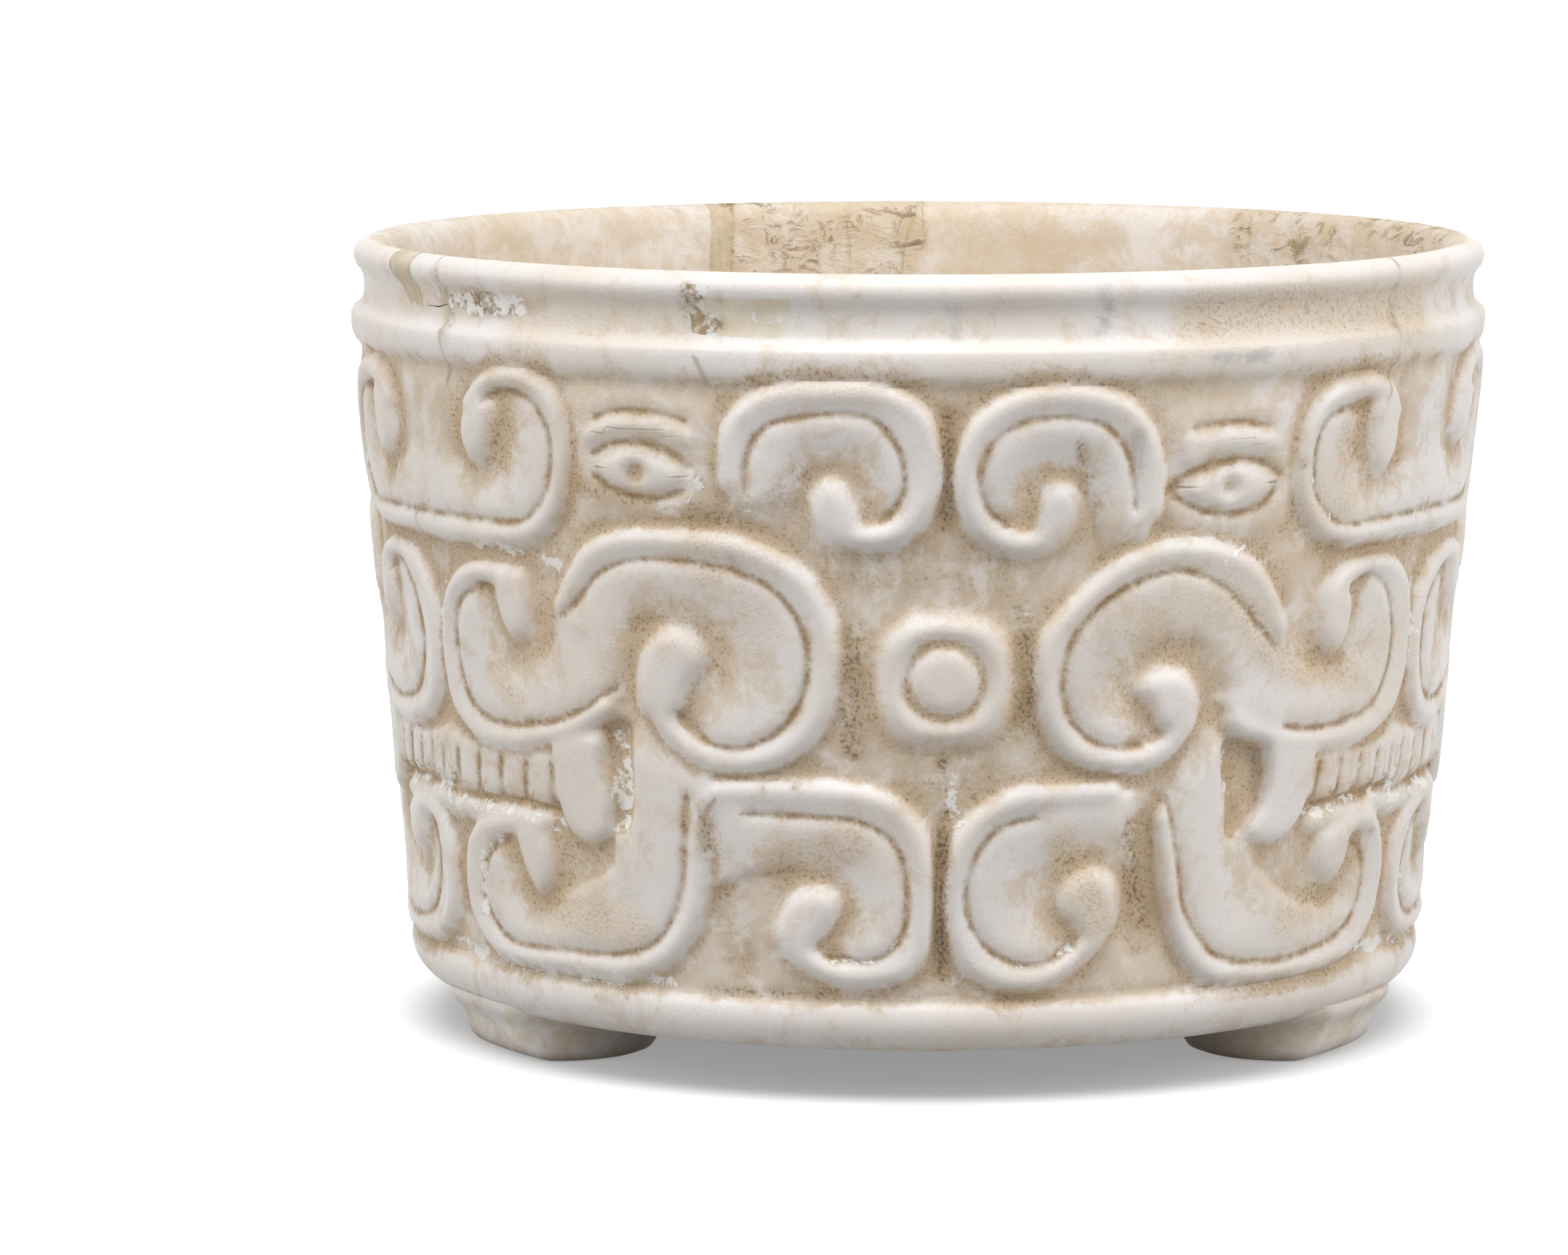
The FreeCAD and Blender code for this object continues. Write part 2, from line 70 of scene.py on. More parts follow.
# The bowl: one block of white marble, turned to a thin tapered wall with a band, a hollow neck and a rim
# roll above it and a roll moulding at its base. Lines are (radius, height) from the resting plane, and every
# size is in millimetres until a mesh is made.
MM = 0.001
RIM_TOP = CAD_BOX[1].z / MM
WALL_FOOT = (51.6, 10.2)
WALL_HEAD = (57.35, 69.9)
UNDERSIDE = [(0, 4.8), (24, 4.8), (48.2, 4.8)]
BASE_MOULDING = [(48.2, 4.8), (49.8, 5), (51, 5.6), (51.8, 6.5), (52.3, 7.6), (52.4, 8.6),
                 (52.2, 9.5), WALL_FOOT]
TOP_MOULDINGS = [WALL_HEAD, (57.55, 70.4), (58.05, 70.95), (58.4, 71.8), (58.5, 72.8), (58.5, 73.5),
                 (58.3, 73.95), (57.8, 74.3), (57.4, 74.8), (57.2, 75.6), (57.15, 76.6), (57.25, 77.4),
                 (57.5, 78.0), (57.95, 78.5), (58.2, 79.2), (58.1, 80.0), (57.6, 80.6), (56.8, RIM_TOP),
                 (55.9, 80.95), (55.1, 80.6), (54.5, 79.9), (54.1, 78.9), (53.8, 77.6)]
INNER_WALL = [(53.8, 77.6), (52.9, 70), (49.9, 43), (47.4, 20.5)]
INNER_FLOOR = [(47.4, 20.5), (46.4, 16.4), (43.6, 12.9), (39, 11.1), (30, 11), (15, 11), (0, 11)]
UNDERSIDE_STEP = 24
MOULDING_STEP = 0.5
WALL_STEP = 0.56
INNER_STEP = 6
COLUMNS = 560
FRONT_CROWDING = 0.3
BASE_LEAN = 0.25


def smooth_line(points, step, closed=False):
    """A round line through given points, as places about one step apart."""
    places = np.array(points, float)
    if closed:
        line = np.vstack([places[-1], places, places[0], places[1]])
    else:
        line = np.vstack([2 * places[0] - places[1], places, 2 * places[-1] - places[-2]])
    runs = []
    for before, start, end, after in zip(line, line[1:], line[2:], line[3:]):
        pairs = ((before, start), (start, end), (end, after))
        first, middle, last = (np.linalg.norm(b - a) ** 0.5 for a, b in pairs)
        leave = middle * ((start - before) / first - (end - before) / (first + middle)) + end - start
        arrive = middle * ((after - end) / last - (after - start) / (middle + last)) + end - start
        count = max(1, round(np.linalg.norm(end - start) / step))
        t = (np.arange(count) / count)[:, None]
        runs.append(start + t * leave + t ** 2 * (3 * (end - start) - 2 * leave - arrive)
                    + t ** 3 * (2 * (start - end) + leave + arrive))
    return np.vstack([*runs, places[:1] if closed else places[-1:]])


def ramp(low, high, value):
    """0 below low, 1 above high, and an even S between them."""
    t = np.clip((value - low) / (high - low), 0, 1)
    return t * t * (3 - 2 * t)


# The carving: three alike masks, whose low relief was cut back from the wall's face and then polished. Places
# are (degrees from the middle of the mask, height), and a mask's left and right halves differ by hand.
CREST = 1.2
DEGREE = 0.955
LINE_STEP = 0.4
# Each mask's middle, and how wide its left and right halves are drawn
MASKS = [(0, 1, 1), (121.7, 1, 0.958), (-121.7, 0.958, 1)]
MASK_REACH = 75
CARVED_HEIGHTS = (8.5, 73)
FAR = 9.0
BANDS = [
    # The two scrolls over the nose
    [(-19.5, 61), (-19.3, 65), (-18, 67.3), (-15, 69), (-10, 69.5), (-5, 69.3), (-2, 68), (-0.4, 65.5),
     (0, 62), (-0.7, 59), (-2.5, 56.8), (-5, 55.8), (-8, 56)],
    [(22, 58), (22, 62), (21, 65), (18.5, 67.8), (14.5, 69), (10, 69), (6.5, 67.8), (4.2, 65.3), (3.3, 62),
     (3.8, 58.8), (5.5, 56.3), (8.5, 55.1), (11, 55.4)],
    # The two large scrolls of the upper lip
    [(-39.5, 47.5), (-37.5, 50.5), (-35.5, 52.8), (-33, 54), (-29, 54.7), (-24, 54.7), (-19, 54.3),
     (-15.5, 53), (-12.5, 51), (-10.8, 48), (-10.2, 44), (-10.7, 40), (-12.3, 37), (-15, 34.7),
     (-18.5, 33.6), (-22, 33.5), (-25, 34.6), (-27.5, 36.8), (-29, 39.5)],
    [(38, 45.5), (36.5, 48), (34.5, 50.7), (31.5, 52.6), (28, 53.6), (24, 53.8), (20, 52.6), (17, 50.4),
     (14.5, 48.3), (12.5, 46), (11.7, 43), (12, 39.5), (13.3, 36.5), (15.5, 34.4), (19, 33.6), (22.5, 33.7),
     (25, 34.7), (27, 37)],
    # The hooks at the corners of the mouth
    [(-45.6, 49.7), (-50, 50), (-52.2, 49.8), (-54.4, 49.1), (-56.4, 47.8), (-57.8, 45.8), (-58.5, 43.5),
     (-58.6, 41.2), (-58.4, 38.9), (-57.6, 36.4), (-55.8, 34.9), (-53.3, 33.7), (-50.6, 33.5), (-47.2, 33.7),
     (-44.4, 34.3), (-41.7, 34.9), (-39.2, 35.8), (-36.7, 37), (-35, 38)],
    [(45.3, 48.2), (46.7, 49.5), (48.9, 50.3), (51.7, 50.5), (54.4, 50.3), (56.7, 49.5), (58.6, 48),
     (59.6, 45.8), (59.9, 43.5), (59.9, 40.8), (59.4, 38.2), (58.1, 36.2), (55.8, 34.9), (53.1, 34.1),
     (50, 33.7), (46.1, 33.8), (42.5, 34), (40, 34.3), (37.2, 34.9), (35, 35.6), (33.4, 36.8)],
    # The hooks over the ears, which two neighbouring masks share
    [(-50.8, 66.6), (-48.3, 68.7), (-45.6, 69.5), (-42.5, 69.5), (-40.3, 68.5), (-38.9, 66.6), (-38.5, 63.9),
     (-38.8, 60.8), (-39.6, 58.2), (-41.1, 56.2), (-43, 54.9), (-45.8, 54.2), (-50, 54), (-56, 54),
     (-62, 54.1)],
    [(53.3, 65.8), (52.2, 67.4), (50, 68.3), (47.5, 68.6), (45, 68.3), (42.8, 67.6), (41.3, 66.2),
     (40.4, 64.3), (40, 62), (40.1, 59.7), (40.8, 57.8), (42.4, 55.8), (44.4, 54.7), (46.9, 54.2),
     (50, 54), (56, 54.2), (62, 54.2)],
    # The two scrolls of the chin
    [(-22, 30.3), (-15, 30.6), (-8, 30.4), (-4.5, 29.5), (-2, 27.5), (-0.8, 24), (-0.7, 20), (-1, 16),
     (-2.5, 13.7), (-5.5, 12.8), (-9, 12.7), (-12, 13.7), (-14.5, 15.5)],
    [(19, 30.3), (13, 30.2), (9, 29.8), (5.8, 28.3), (3.7, 26), (2.8, 22.5), (2.7, 19), (3.3, 16),
     (5.2, 13.6), (8.5, 12.3), (12, 12.4), (15, 13.8), (17.8, 16)],
    # The jaws
    [(-45, 25.2), (-47.2, 25.5), (-50, 24.9), (-52.8, 24.3), (-55, 23.5), (-56.7, 22), (-57.6, 19.7),
     (-57.9, 17.4), (-57.2, 14.9), (-55.6, 13.2), (-53.3, 12.2), (-50.6, 11.8), (-40, 11.9), (-35, 11.8),
     (-31.7, 12.6), (-28.9, 13.9), (-26.7, 16.2), (-25.3, 18.9), (-24.7, 22), (-24.4, 25), (-23.9, 27.7),
     (-23.3, 29.5)],
    [(48.9, 22.2), (50.6, 24), (52.8, 24.5), (55, 24.7), (56.9, 23.9), (58.3, 22), (59, 19.7), (58.9, 17.4),
     (58.3, 15.1), (56.7, 13.2), (54.4, 12), (51.7, 11.4), (47.5, 11), (40, 11), (35, 11.3), (33.3, 11.4),
     (31.1, 12.4), (29.4, 13.9), (28, 16.2), (27.1, 18.9), (26.4, 21.2), (25.8, 24.3), (25.3, 27.4)],
]
BAND_FLAT = 0.62
BAND_OUTSIDE = 1.9
BAND_INSIDE = 1.5
BAND_ROUND = 0.06
# The field inside a scroll: its level at the band, and how it falls away from there and past the line's ends
FIELD_EDGE = (-0.4, 1.2)
FIELD_RIM = 0.98
FIELD_FALL = 0.5
FIELD_WIDTH = (2.5, 10.0)
FIELD_END = (0.5, 5.0)
FIELD_BEYOND = 0.6
SOFT_AS_FIELD = 2
CURLS = [
    [(-7.2, 55.2), (-6.9, 57.4), (-7.7, 59.8), (-9.3, 61.3), (-10.8, 60.5), (-11.3, 58.4), (-10.7, 56.3),
     (-9, 54.9)],
    [(10.3, 54.6), (10.4, 57.6), (11, 59.8), (12.4, 60.8), (13.8, 60), (14.2, 58), (13.4, 56), (12, 54.8)],
    [(-30.1, 38), (-30.4, 41.3), (-29.4, 44.2), (-27.4, 45.9), (-25.2, 46), (-23.4, 44.8), (-23, 43.1),
     (-24.2, 41.6), (-25.2, 40), (-25.8, 38.4), (-27, 37)],
    [(27.4, 36), (28.4, 38.6), (27.6, 40.9), (25.4, 42.2), (23, 42), (21.2, 40.8), (22.3, 39.2), (23.3, 37.4),
     (25.2, 35.7)],
    [(-49, 50.2), (-48.9, 47), (-48, 44.7), (-46.4, 43.6), (-44.9, 44.5), (-44.2, 46.8), (-44.3, 49.2),
     (-46, 50.6)],
    [(44.3, 48.4), (43.9, 45.4), (44.7, 43.4), (46.5, 42.7), (48, 43.8), (48.6, 46), (48.3, 48.4),
     (46.6, 50)],
    [(-48.3, 68), (-50.7, 67), (-52.4, 65.2), (-52.6, 63), (-51.4, 61.4), (-49.7, 61.4), (-48.2, 62.8),
     (-47.2, 64.9), (-46.8, 67)],
    [(49.2, 67.4), (48.9, 64), (49.6, 61.2), (51.4, 60), (53.3, 60.8), (54.2, 63), (53.9, 65.4), (52, 67.4)],
    [(-16.2, 16), (-15.6, 18.2), (-13.9, 20.4), (-11.3, 21.3), (-9.4, 20.2), (-9.8, 18.2), (-11.2, 16.4),
     (-13, 14.4)],
    [(18.8, 16), (20.2, 18.6), (19.8, 21.3), (17.8, 22.9), (15.4, 22.4), (13.9, 20.6), (14.2, 18.6),
     (15.6, 17), (16.8, 15.2)],
    [(-48.7, 25.4), (-48.3, 22.2), (-47, 19.7), (-45.4, 18.3), (-43.9, 19.3), (-43.3, 21.6), (-43.6, 24),
     (-45.6, 25.8)],
    [(47.2, 24.2), (46.6, 21.8), (47.4, 19.9), (49.4, 19.1), (51.3, 20), (52.2, 21.9), (52.2, 24.2),
     (49.8, 25)],
]
CURL_SOFT = 1.1
CURL_DOME = 0.1
CURL_DOME_REACH = 2.2
MOAT = (0.6, 5.5)
MOAT_DEPTH = 0.7
# Smooth raised places without a band: outline, level, how soft its edge is
SWELLS = [
    # The cheeks, which run from the jaws up to the upper lip
    ([(-33.5, 20), (-32.6, 27), (-32.2, 34.5), (-29.5, 37), (-25, 33), (-24.6, 27), (-25.5, 20), (-29, 16)],
     0.92, 2.2),
    ([(33, 20), (32.2, 26), (31.8, 34), (29, 36.5), (26.5, 33), (26.2, 27), (27.5, 20), (30, 16)], 0.92, 2.2),
    # The strand between each large scroll and its hook
    ([(-39, 48), (-33, 47), (-31, 44), (-33, 41), (-38, 38.5), (-44, 37), (-43, 41), (-41, 45)], 0.8, 4.5),
    ([(36.5, 46), (32, 47), (29.5, 44.5), (31, 41), (35, 38), (41, 36.5), (41.5, 40), (39, 44)], 0.8, 4.5),
    # Round the eyes
    ([(-37, 68.5), (-29, 69), (-21.5, 68), (-21, 62), (-22, 57.5), (-29, 56.5), (-36.5, 57),
      (-36.8, 62)], 0.5, 3.2),
    ([(24, 67), (31, 68), (38, 67.5), (38.3, 61), (37, 55.8), (30, 55.5), (24, 57), (23.8, 62)], 0.5, 3.2),
    # The eyeballs, and the brows over them
    ([(-34, 61.4), (-33.5, 62.3), (-32, 63), (-29.6, 63.4), (-26.9, 62.9), (-25, 62), (-24.4, 61.1),
      (-25.2, 60.4), (-27, 59.8), (-29.8, 59.5), (-32.2, 59.9), (-33.6, 60.6)], 0.95, 0.9),
    ([(25.7, 59.5), (26.2, 60.4), (28.2, 61.2), (31, 61.7), (33.6, 61.2), (35.2, 60.3), (35.6, 59.4),
      (34.6, 58.6), (33, 58.1), (31, 57.8), (28.2, 58.2), (26.4, 58.8)], 0.95, 0.9),
    ([(-35.8, 65), (-33, 66.2), (-29.5, 66.8), (-26, 66.4), (-22.6, 65.2), (-23.6, 63.9), (-26.5, 64.8),
      (-30, 65.2), (-33, 64.7), (-35.2, 63.7)], 0.95, 1.2),
    ([(25, 64.9), (28, 65.5), (32, 65.6), (36.6, 64.4), (35.8, 62.9), (32, 63.3), (28.5, 62.9), (25.4, 61.9)],
     0.95, 1.2),
    # The gums that carry the teeth
    ([(-62.5, 33), (-52, 32.2), (-42, 32.6), (-41, 30), (-42.5, 27.6), (-50, 27.6),
      (-62.5, 27.2)], 0.74, 1.2),
    ([(62.5, 33), (54, 32.2), (45, 32.4), (43.6, 30), (44.8, 27.8), (54, 28), (62.5, 28.4)], 0.78, 1.2),
    # The fangs
    ([(-42, 33.6), (-42, 30.8), (-41.4, 27), (-40, 25), (-37.8, 24.2), (-35.4, 25.3), (-34.4, 27.4),
      (-35.2, 30), (-35.7, 32.4), (-35.2, 34.8), (-38.5, 35.2)], 1.12, 1.2),
    ([(44.7, 33.4), (44.6, 30.8), (44.3, 28.2), (42.6, 25.4), (40, 24.2), (37.3, 24.4), (35.4, 25.4),
      (37.4, 28), (38, 31), (37.6, 34), (41, 34.6)], 1.12, 1.2),
    # The soft ridge behind each ear hook
    ([(-60.2, 69), (-55.5, 69), (-55, 62), (-56, 56), (-60.2, 56)], 0.55, 3.2),
    ([(61, 69), (57.5, 69), (57, 62), (58, 56), (61, 56)], 0.55, 3.2),
    # The lips below the teeth, which lie over the jaws
    ([(-62.5, 26.4), (-54, 26.7), (-46, 26.9), (-43, 26.3), (-43.4, 25.2), (-50, 25), (-56, 24.6),
      (-62.5, 24.6)],
     0.8, 1.4),
    ([(62.5, 27), (54, 26.7), (48.5, 26.4), (44.6, 25.6), (45.2, 24.6), (50, 24.8), (56, 25), (62.5, 25.2)],
     0.75, 1.4),
]
SWELL_DOME = 0.06
SWELL_DOME_REACH = 3
# The boss: its middle in degrees, its height, half its width, and how round its corners are. Then the ring in it:
# its radius, depth and width.
BOSS = (1.5, 41.8, 5.7, 3.6)
BOSS_SOFT = (-1.5, 0.9)
BOSS_RING = (3.75, 0.72, 0.75)
BOSS_DISC_DOME = 0.08
BOSS_DOME_REACH = 2.5
# Incised lines, with their depth. Their marks count from the line to a fade, and both fade past the ends.
GROOVE_MARGIN = 3
GROOVE_COUNTS = (0.9, 1.7)
GROOVE_MARK_END = 0.6
GROOVE_END = 0.8
GROOVE_WIDTH = 0.52
GROOVE_DEEPER = 1.3
GROOVES = [
    (0.3, [(-17.8, 60), (-17.8, 62.5), (-17, 65), (-15.5, 66.5), (-13, 67.3), (-6, 67.5), (-4, 66),
           (-2.6, 63.5), (-2.3, 61), (-3, 59), (-4.5, 57.4)]),
    (0.3, [(20.4, 58.3), (20, 61), (19, 64.2), (17, 66.3), (14, 67.2), (10.5, 67.3), (8, 66.6), (6, 65),
           (4.9, 62.8), (5, 60), (6, 58.2), (7.5, 57)]),
    (0.3, [(-39.4, 46.8), (-37, 48.7), (-34.5, 51.3), (-32, 52.4), (-29, 53), (-22, 52.8), (-19, 52.2),
           (-16, 51), (-13.8, 49), (-12.4, 46.5), (-12, 43.5), (-12.5, 40.5), (-14, 37.8), (-16.5, 35.8),
           (-19.5, 34.9), (-22.5, 35.3), (-25, 36.8), (-26, 38)]),
    (0.3, [(37.5, 44), (35.5, 45.8), (33, 48.3), (30, 50.5), (26, 52), (22, 51.5), (18.5, 50), (15.5, 47.5),
           (14, 45), (13.4, 42), (13.8, 39.3), (15, 37), (17, 35.6), (19.5, 35), (22, 35.1)]),
    (0.3, [(-49.9, 48.6), (-51.1, 48.9), (-52.8, 48.3), (-55, 47), (-56.1, 45.3), (-56.5, 43.2),
           (-56.4, 40.5), (-55.8, 38.6), (-54.7, 36.8), (-52.8, 35.7), (-50, 35.2), (-47.2, 35.2),
           (-44.4, 35.6), (-41.7, 36), (-39.2, 36.8), (-36.7, 38), (-33.4, 40)]),
    (0.3, [(48.2, 48.5), (49.4, 49.5), (51.7, 49.8), (53.9, 48.9), (55.6, 47.2), (56.5, 45.5), (57.2, 43.5),
           (57.1, 40.8), (56.1, 38.5), (54.9, 37), (52.8, 36), (50, 35.5), (47.5, 35.2), (44.2, 35.2),
           (41.7, 35.4), (39.7, 35.8)]),
    (0.26, [(-48.3, 67.4), (-46.7, 68.3), (-44.4, 68.6), (-41.9, 67.9), (-40.3, 66.2), (-39.4, 63.9),
            (-39.6, 61.2), (-40.4, 58.9), (-41.9, 57.2), (-43.6, 56), (-46, 55.5), (-50, 55.5), (-62, 55.5)]),
    (0.26, [(48.1, 66.6), (46.1, 66.8), (43.9, 66.6), (42.1, 65.5), (41.3, 63.5), (41.1, 61.2), (41.5, 58.9),
            (42.6, 57.4), (44.2, 56), (46.1, 55.3), (50, 55.3), (62, 55.6)]),
    (0.3, [(-19, 28.4), (-13, 28.5), (-8, 28.2), (-5, 27.2), (-3.2, 25.5), (-2.4, 23), (-2.2, 20), (-2.6, 17),
           (-4, 15.2), (-6.5, 14.2), (-10.5, 14.5)]),
    (0.3, [(11, 28.4), (8, 27.7), (6, 26.3), (4.6, 24), (3.9, 21.3), (4.1, 18.8), (5.2, 16.6), (7.2, 14.8),
           (10, 13.8), (13, 14), (15.5, 15.4)]),
    (0.3, [(-50.3, 23.3), (-52.2, 22.6), (-54.2, 20.8), (-55.1, 18.5), (-55.3, 16.6), (-54, 14.9),
           (-52.5, 13.7), (-50.6, 13), (-40, 13.1), (-36, 13.2), (-32, 13.9), (-29.6, 15.2), (-27.5, 18),
           (-26.3, 21), (-25.9, 25), (-25.4, 29.8)]),
    (0.3, [(53.9, 22.6), (55, 21.8), (56, 19.7), (55.7, 17), (54.4, 14.9), (52.2, 13.5), (50, 12.9),
           (46.1, 12.3), (41.9, 12), (38.3, 12.2), (35, 12.6), (32, 13.8), (29.5, 16.3), (28, 19),
           (27.3, 22.5), (26.3, 26.5), (25.5, 29.5)]),
    # The lids and brows
    (0.26, [(-34.4, 63), (-32.6, 64), (-29.8, 64.4), (-27, 64), (-25, 63.2), (-23.6, 62.2)]),
    (0.26, [(-34.2, 60.8), (-32.4, 59.7), (-29.5, 59), (-26.5, 59.1), (-24.6, 59.9)]),
    (0.2, [(-34, 66.6), (-31, 67.4), (-27, 67.3), (-24, 66.7)]),
    (0.3, [(24.5, 60.3), (26, 61.5), (29, 62.2), (32, 62.6), (34.5, 62.2), (37, 60.8)]),
    (0.3, [(24, 60), (26, 58.5), (29, 57.5), (32, 57.3), (35, 58), (36.5, 59.5)]),
    (0.2, [(26.5, 65.9), (29, 66.2), (32.5, 66.2), (35, 65.6)]),
    # Under the gums
    (0.3, [(-62, 27.1), (-52, 27.2), (-44, 27.3), (-42, 27)]),
    (0.3, [(62, 28), (54, 27.5), (46, 27.3), (44.6, 27)]),
]
TEETH = [(-42.6, -42.3), (-46.7, -46.3), (-50.9, -50.5), (-55, -54.5), (-59, -58.6), (45.4, 46), (49.2, 49.7),
         (52.9, 53.3), (56.4, 56.8), (59.6, 59.8)]
TOOTH_FOOT = 27.8
TOOTH_HEAD = 31.5
TOOTH_DEPTH = 0.26
# Places cut or broken below the ground: outline, depth, how soft its edge is
HOLLOWS = [
    ([(-30.8, 61.3), (-30.5, 62.1), (-29.7, 62.4), (-28.9, 62.1), (-28.6, 61.3), (-28.9, 60.5), (-29.7, 60.2),
      (-30.5, 60.5)], 0.75, 0.8),
    ([(29.6, 59.8), (29.9, 60.5), (30.6, 60.8), (31.3, 60.5), (31.6, 59.8), (31.3, 59.1), (30.6, 58.8),
      (29.9, 59.1)], 0.75, 0.8),
    ([(-35.2, 36), (-34.2, 30), (-35, 26.4), (-33.5, 25.4), (-32.2, 28), (-32, 34),
      (-32.6, 36.4)], 0.95, 1.0),
    ([(32.4, 34.3), (32.8, 29), (33.6, 24.8), (36, 26.4), (37.8, 29), (37.6, 33), (36.4, 34.6)], 1.0, 1.0),
    ([(-23.5, 28), (-23, 20), (-22, 12.6), (-18.6, 12), (-19, 17), (-20.5, 22), (-21.6, 28)], 0.3, 2.0),
    ([(21, 28), (21.4, 22), (20.6, 17), (23, 13), (25.4, 16), (25, 22), (24.4, 28)], 0.35, 2.0),
    ([(0.5, 29), (0.3, 20), (0.6, 13), (1.6, 12), (2, 18), (2, 24), (2.4, 29)], 0.25, 1.2),
    ([(0.7, 68), (0.9, 62), (0.9, 57), (2.3, 57), (2.4, 62), (2.8, 68)], 0.25, 1.2),
]


def reach(line, across, up):
    """How far each place lies from a line, to which side, 1 for the left, and how far past its ends."""
    starts, ends = line[:-1], line[1:]
    way = ends - starts
    length = np.linalg.norm(way, axis=1)
    way = way / length[:, None]
    du = across[:, None] - starts[:, 0]
    dv = up[:, None] - starts[:, 1]
    along = du * way[:, 0] + dv * way[:, 1]
    held = np.clip(along, 0, length)
    apart = (du - held * way[:, 0]) ** 2 + (dv - held * way[:, 1]) ** 2
    near = np.argmin(apart, axis=1)
    row = np.arange(len(across))
    side = np.sign(way[near, 0] * dv[row, near] - way[near, 1] * du[row, near])
    past = np.where(near == 0, -along[:, 0], np.where(near == len(way) - 1, along[:, -1] - length[-1], 0))
    return np.sqrt(apart[row, near]), np.where(side == 0, 1, side), np.maximum(past, 0)


def turning(line):
    """1 for a line that curls to the left, -1 for one that curls to the right."""
    way = np.diff(line, axis=0)
    return np.sign(np.sum(way[:-1, 0] * way[1:, 1] - way[:-1, 1] * way[1:, 0]))


def near_line(line, across, up, margin):
    """Which places lie within a margin of a line's own box."""
    low = line.min(axis=0) - margin
    high = line.max(axis=0) + margin
    return np.nonzero((across > low[0]) & (across < high[0]) & (up > low[1]) & (up < high[1]))[0]


def flat_line(points, closed=False):
    """A line of the carving, unrolled to millimetres."""
    return smooth_line([(angle * DEGREE, height) for angle, height in points], LINE_STEP, closed)


def outline_depth(points, across, up, margin):
    """Which places lie near a closed outline, and how far inside it each lies, negative outside."""
    line = flat_line(points, closed=True)
    held = near_line(line, across, up, margin)
    if not len(held):
        return held, np.zeros(0)
    apart = reach(line, across[held], up[held])[0]
    within = np.zeros(len(held), bool)
    for (start_u, start_v), (end_u, end_v) in zip(line, line[1:]):
        if start_v == end_v:
            continue
        spans = (start_v > up[held]) != (end_v > up[held])
        crossing = start_u + (up[held] - start_v) * (end_u - start_u) / (end_v - start_v)
        within ^= spans & (across[held] < crossing)
    return held, np.where(within, apart, -apart)


def carve_mask(across, up):
    """Relief height of one mask, the distance to its nearest incised line, and how much that counts."""
    field = np.zeros(len(across))
    raised = np.zeros(len(across))
    for points in BANDS:
        line = flat_line(points)
        held = near_line(line, across, up, FIELD_WIDTH[1] + 1)
        apart, side, past = reach(line, across[held], up[held])
        inside = apart * side * turning(line)
        ridge = CREST * (1 - ramp(BAND_FLAT, BAND_OUTSIDE, -inside))
        ridge *= 1 - ramp(BAND_FLAT, BAND_INSIDE, inside)
        ridge -= BAND_ROUND * np.clip(apart / BAND_FLAT, 0, 2) ** 2 * (ridge > 0)
        raised[held] = np.maximum(raised[held], ridge)
        pillow = ramp(*FIELD_EDGE, inside) * (FIELD_RIM - FIELD_FALL * ramp(*FIELD_WIDTH, inside))
        beyond = ramp(FIELD_WIDTH[1] - 1, FIELD_WIDTH[1] + 1, apart)
        pillow *= (1 - ramp(*FIELD_END, past)) * (1 - beyond * FIELD_BEYOND)
        field[held] = np.maximum(field[held], pillow)
    for points, level, soft in SWELLS:
        held, inside = outline_depth(points, across, up, soft + 1)
        swell = level * ramp(-soft / 2, soft / 2, inside) + SWELL_DOME * ramp(0, SWELL_DOME_REACH, inside)
        if soft > SOFT_AS_FIELD:
            field[held] = np.maximum(field[held], swell)
        else:
            raised[held] = np.maximum(raised[held], swell)
    for points in CURLS:
        held, inside = outline_depth(points, across, up, MOAT[1])
        field[held] *= 1 - MOAT_DEPTH * (1 - ramp(*MOAT, -inside))
        curl = CREST * ramp(-CURL_SOFT, CURL_SOFT, inside) + CURL_DOME * ramp(0, CURL_DOME_REACH, inside)
        raised[held] = np.maximum(raised[held], curl)
    middle, rise, half, corner = BOSS
    du = across - middle * DEGREE
    dv = up - rise
    square = np.hypot(np.maximum(abs(du) - half + corner, 0), np.maximum(abs(dv) - half + corner, 0)) - corner
    square += np.minimum(np.maximum(abs(du) - half + corner, abs(dv) - half + corner), 0)
    boss = CREST * ramp(*BOSS_SOFT, -square)
    radius, ring_depth, ring_width = BOSS_RING
    ring = np.hypot(du, dv) - radius
    boss -= (boss > 0) * ring_depth * np.exp(-(ring / ring_width) ** 2)
    boss += BOSS_DISC_DOME * ramp(0, BOSS_DOME_REACH, -ring)
    height = np.maximum(np.maximum(raised, field), boss)
    for points, depth, soft in HOLLOWS:
        held, inside = outline_depth(points, across, up, soft + 1)
        height[held] -= depth * ramp(-soft / 2, soft / 2, inside)
    nearest = np.full(len(across), FAR)
    weight = np.zeros(len(across))
    teeth = [(TOOTH_DEPTH, [(foot, TOOTH_FOOT), (head, TOOTH_HEAD)]) for foot, head in TEETH]
    for depth, points in GROOVES + teeth:
        line = flat_line(points)
        held = near_line(line, across, up, GROOVE_MARGIN)
        apart, side, past = reach(line, across[held], up[held])
        counts = (1 - ramp(*GROOVE_COUNTS, apart)) * (1 - ramp(0, GROOVE_MARK_END, past))
        cut = np.exp(-(apart / GROOVE_WIDTH) ** 2) * (1 - ramp(0, GROOVE_END, past))
        height[held] -= GROOVE_DEEPER * depth * cut
        closer = apart < abs(nearest[held])
        nearest[held] = np.where(closer, apart * side, nearest[held])
        weight[held] = np.where(closer, counts, weight[held])
    return height, nearest, weight


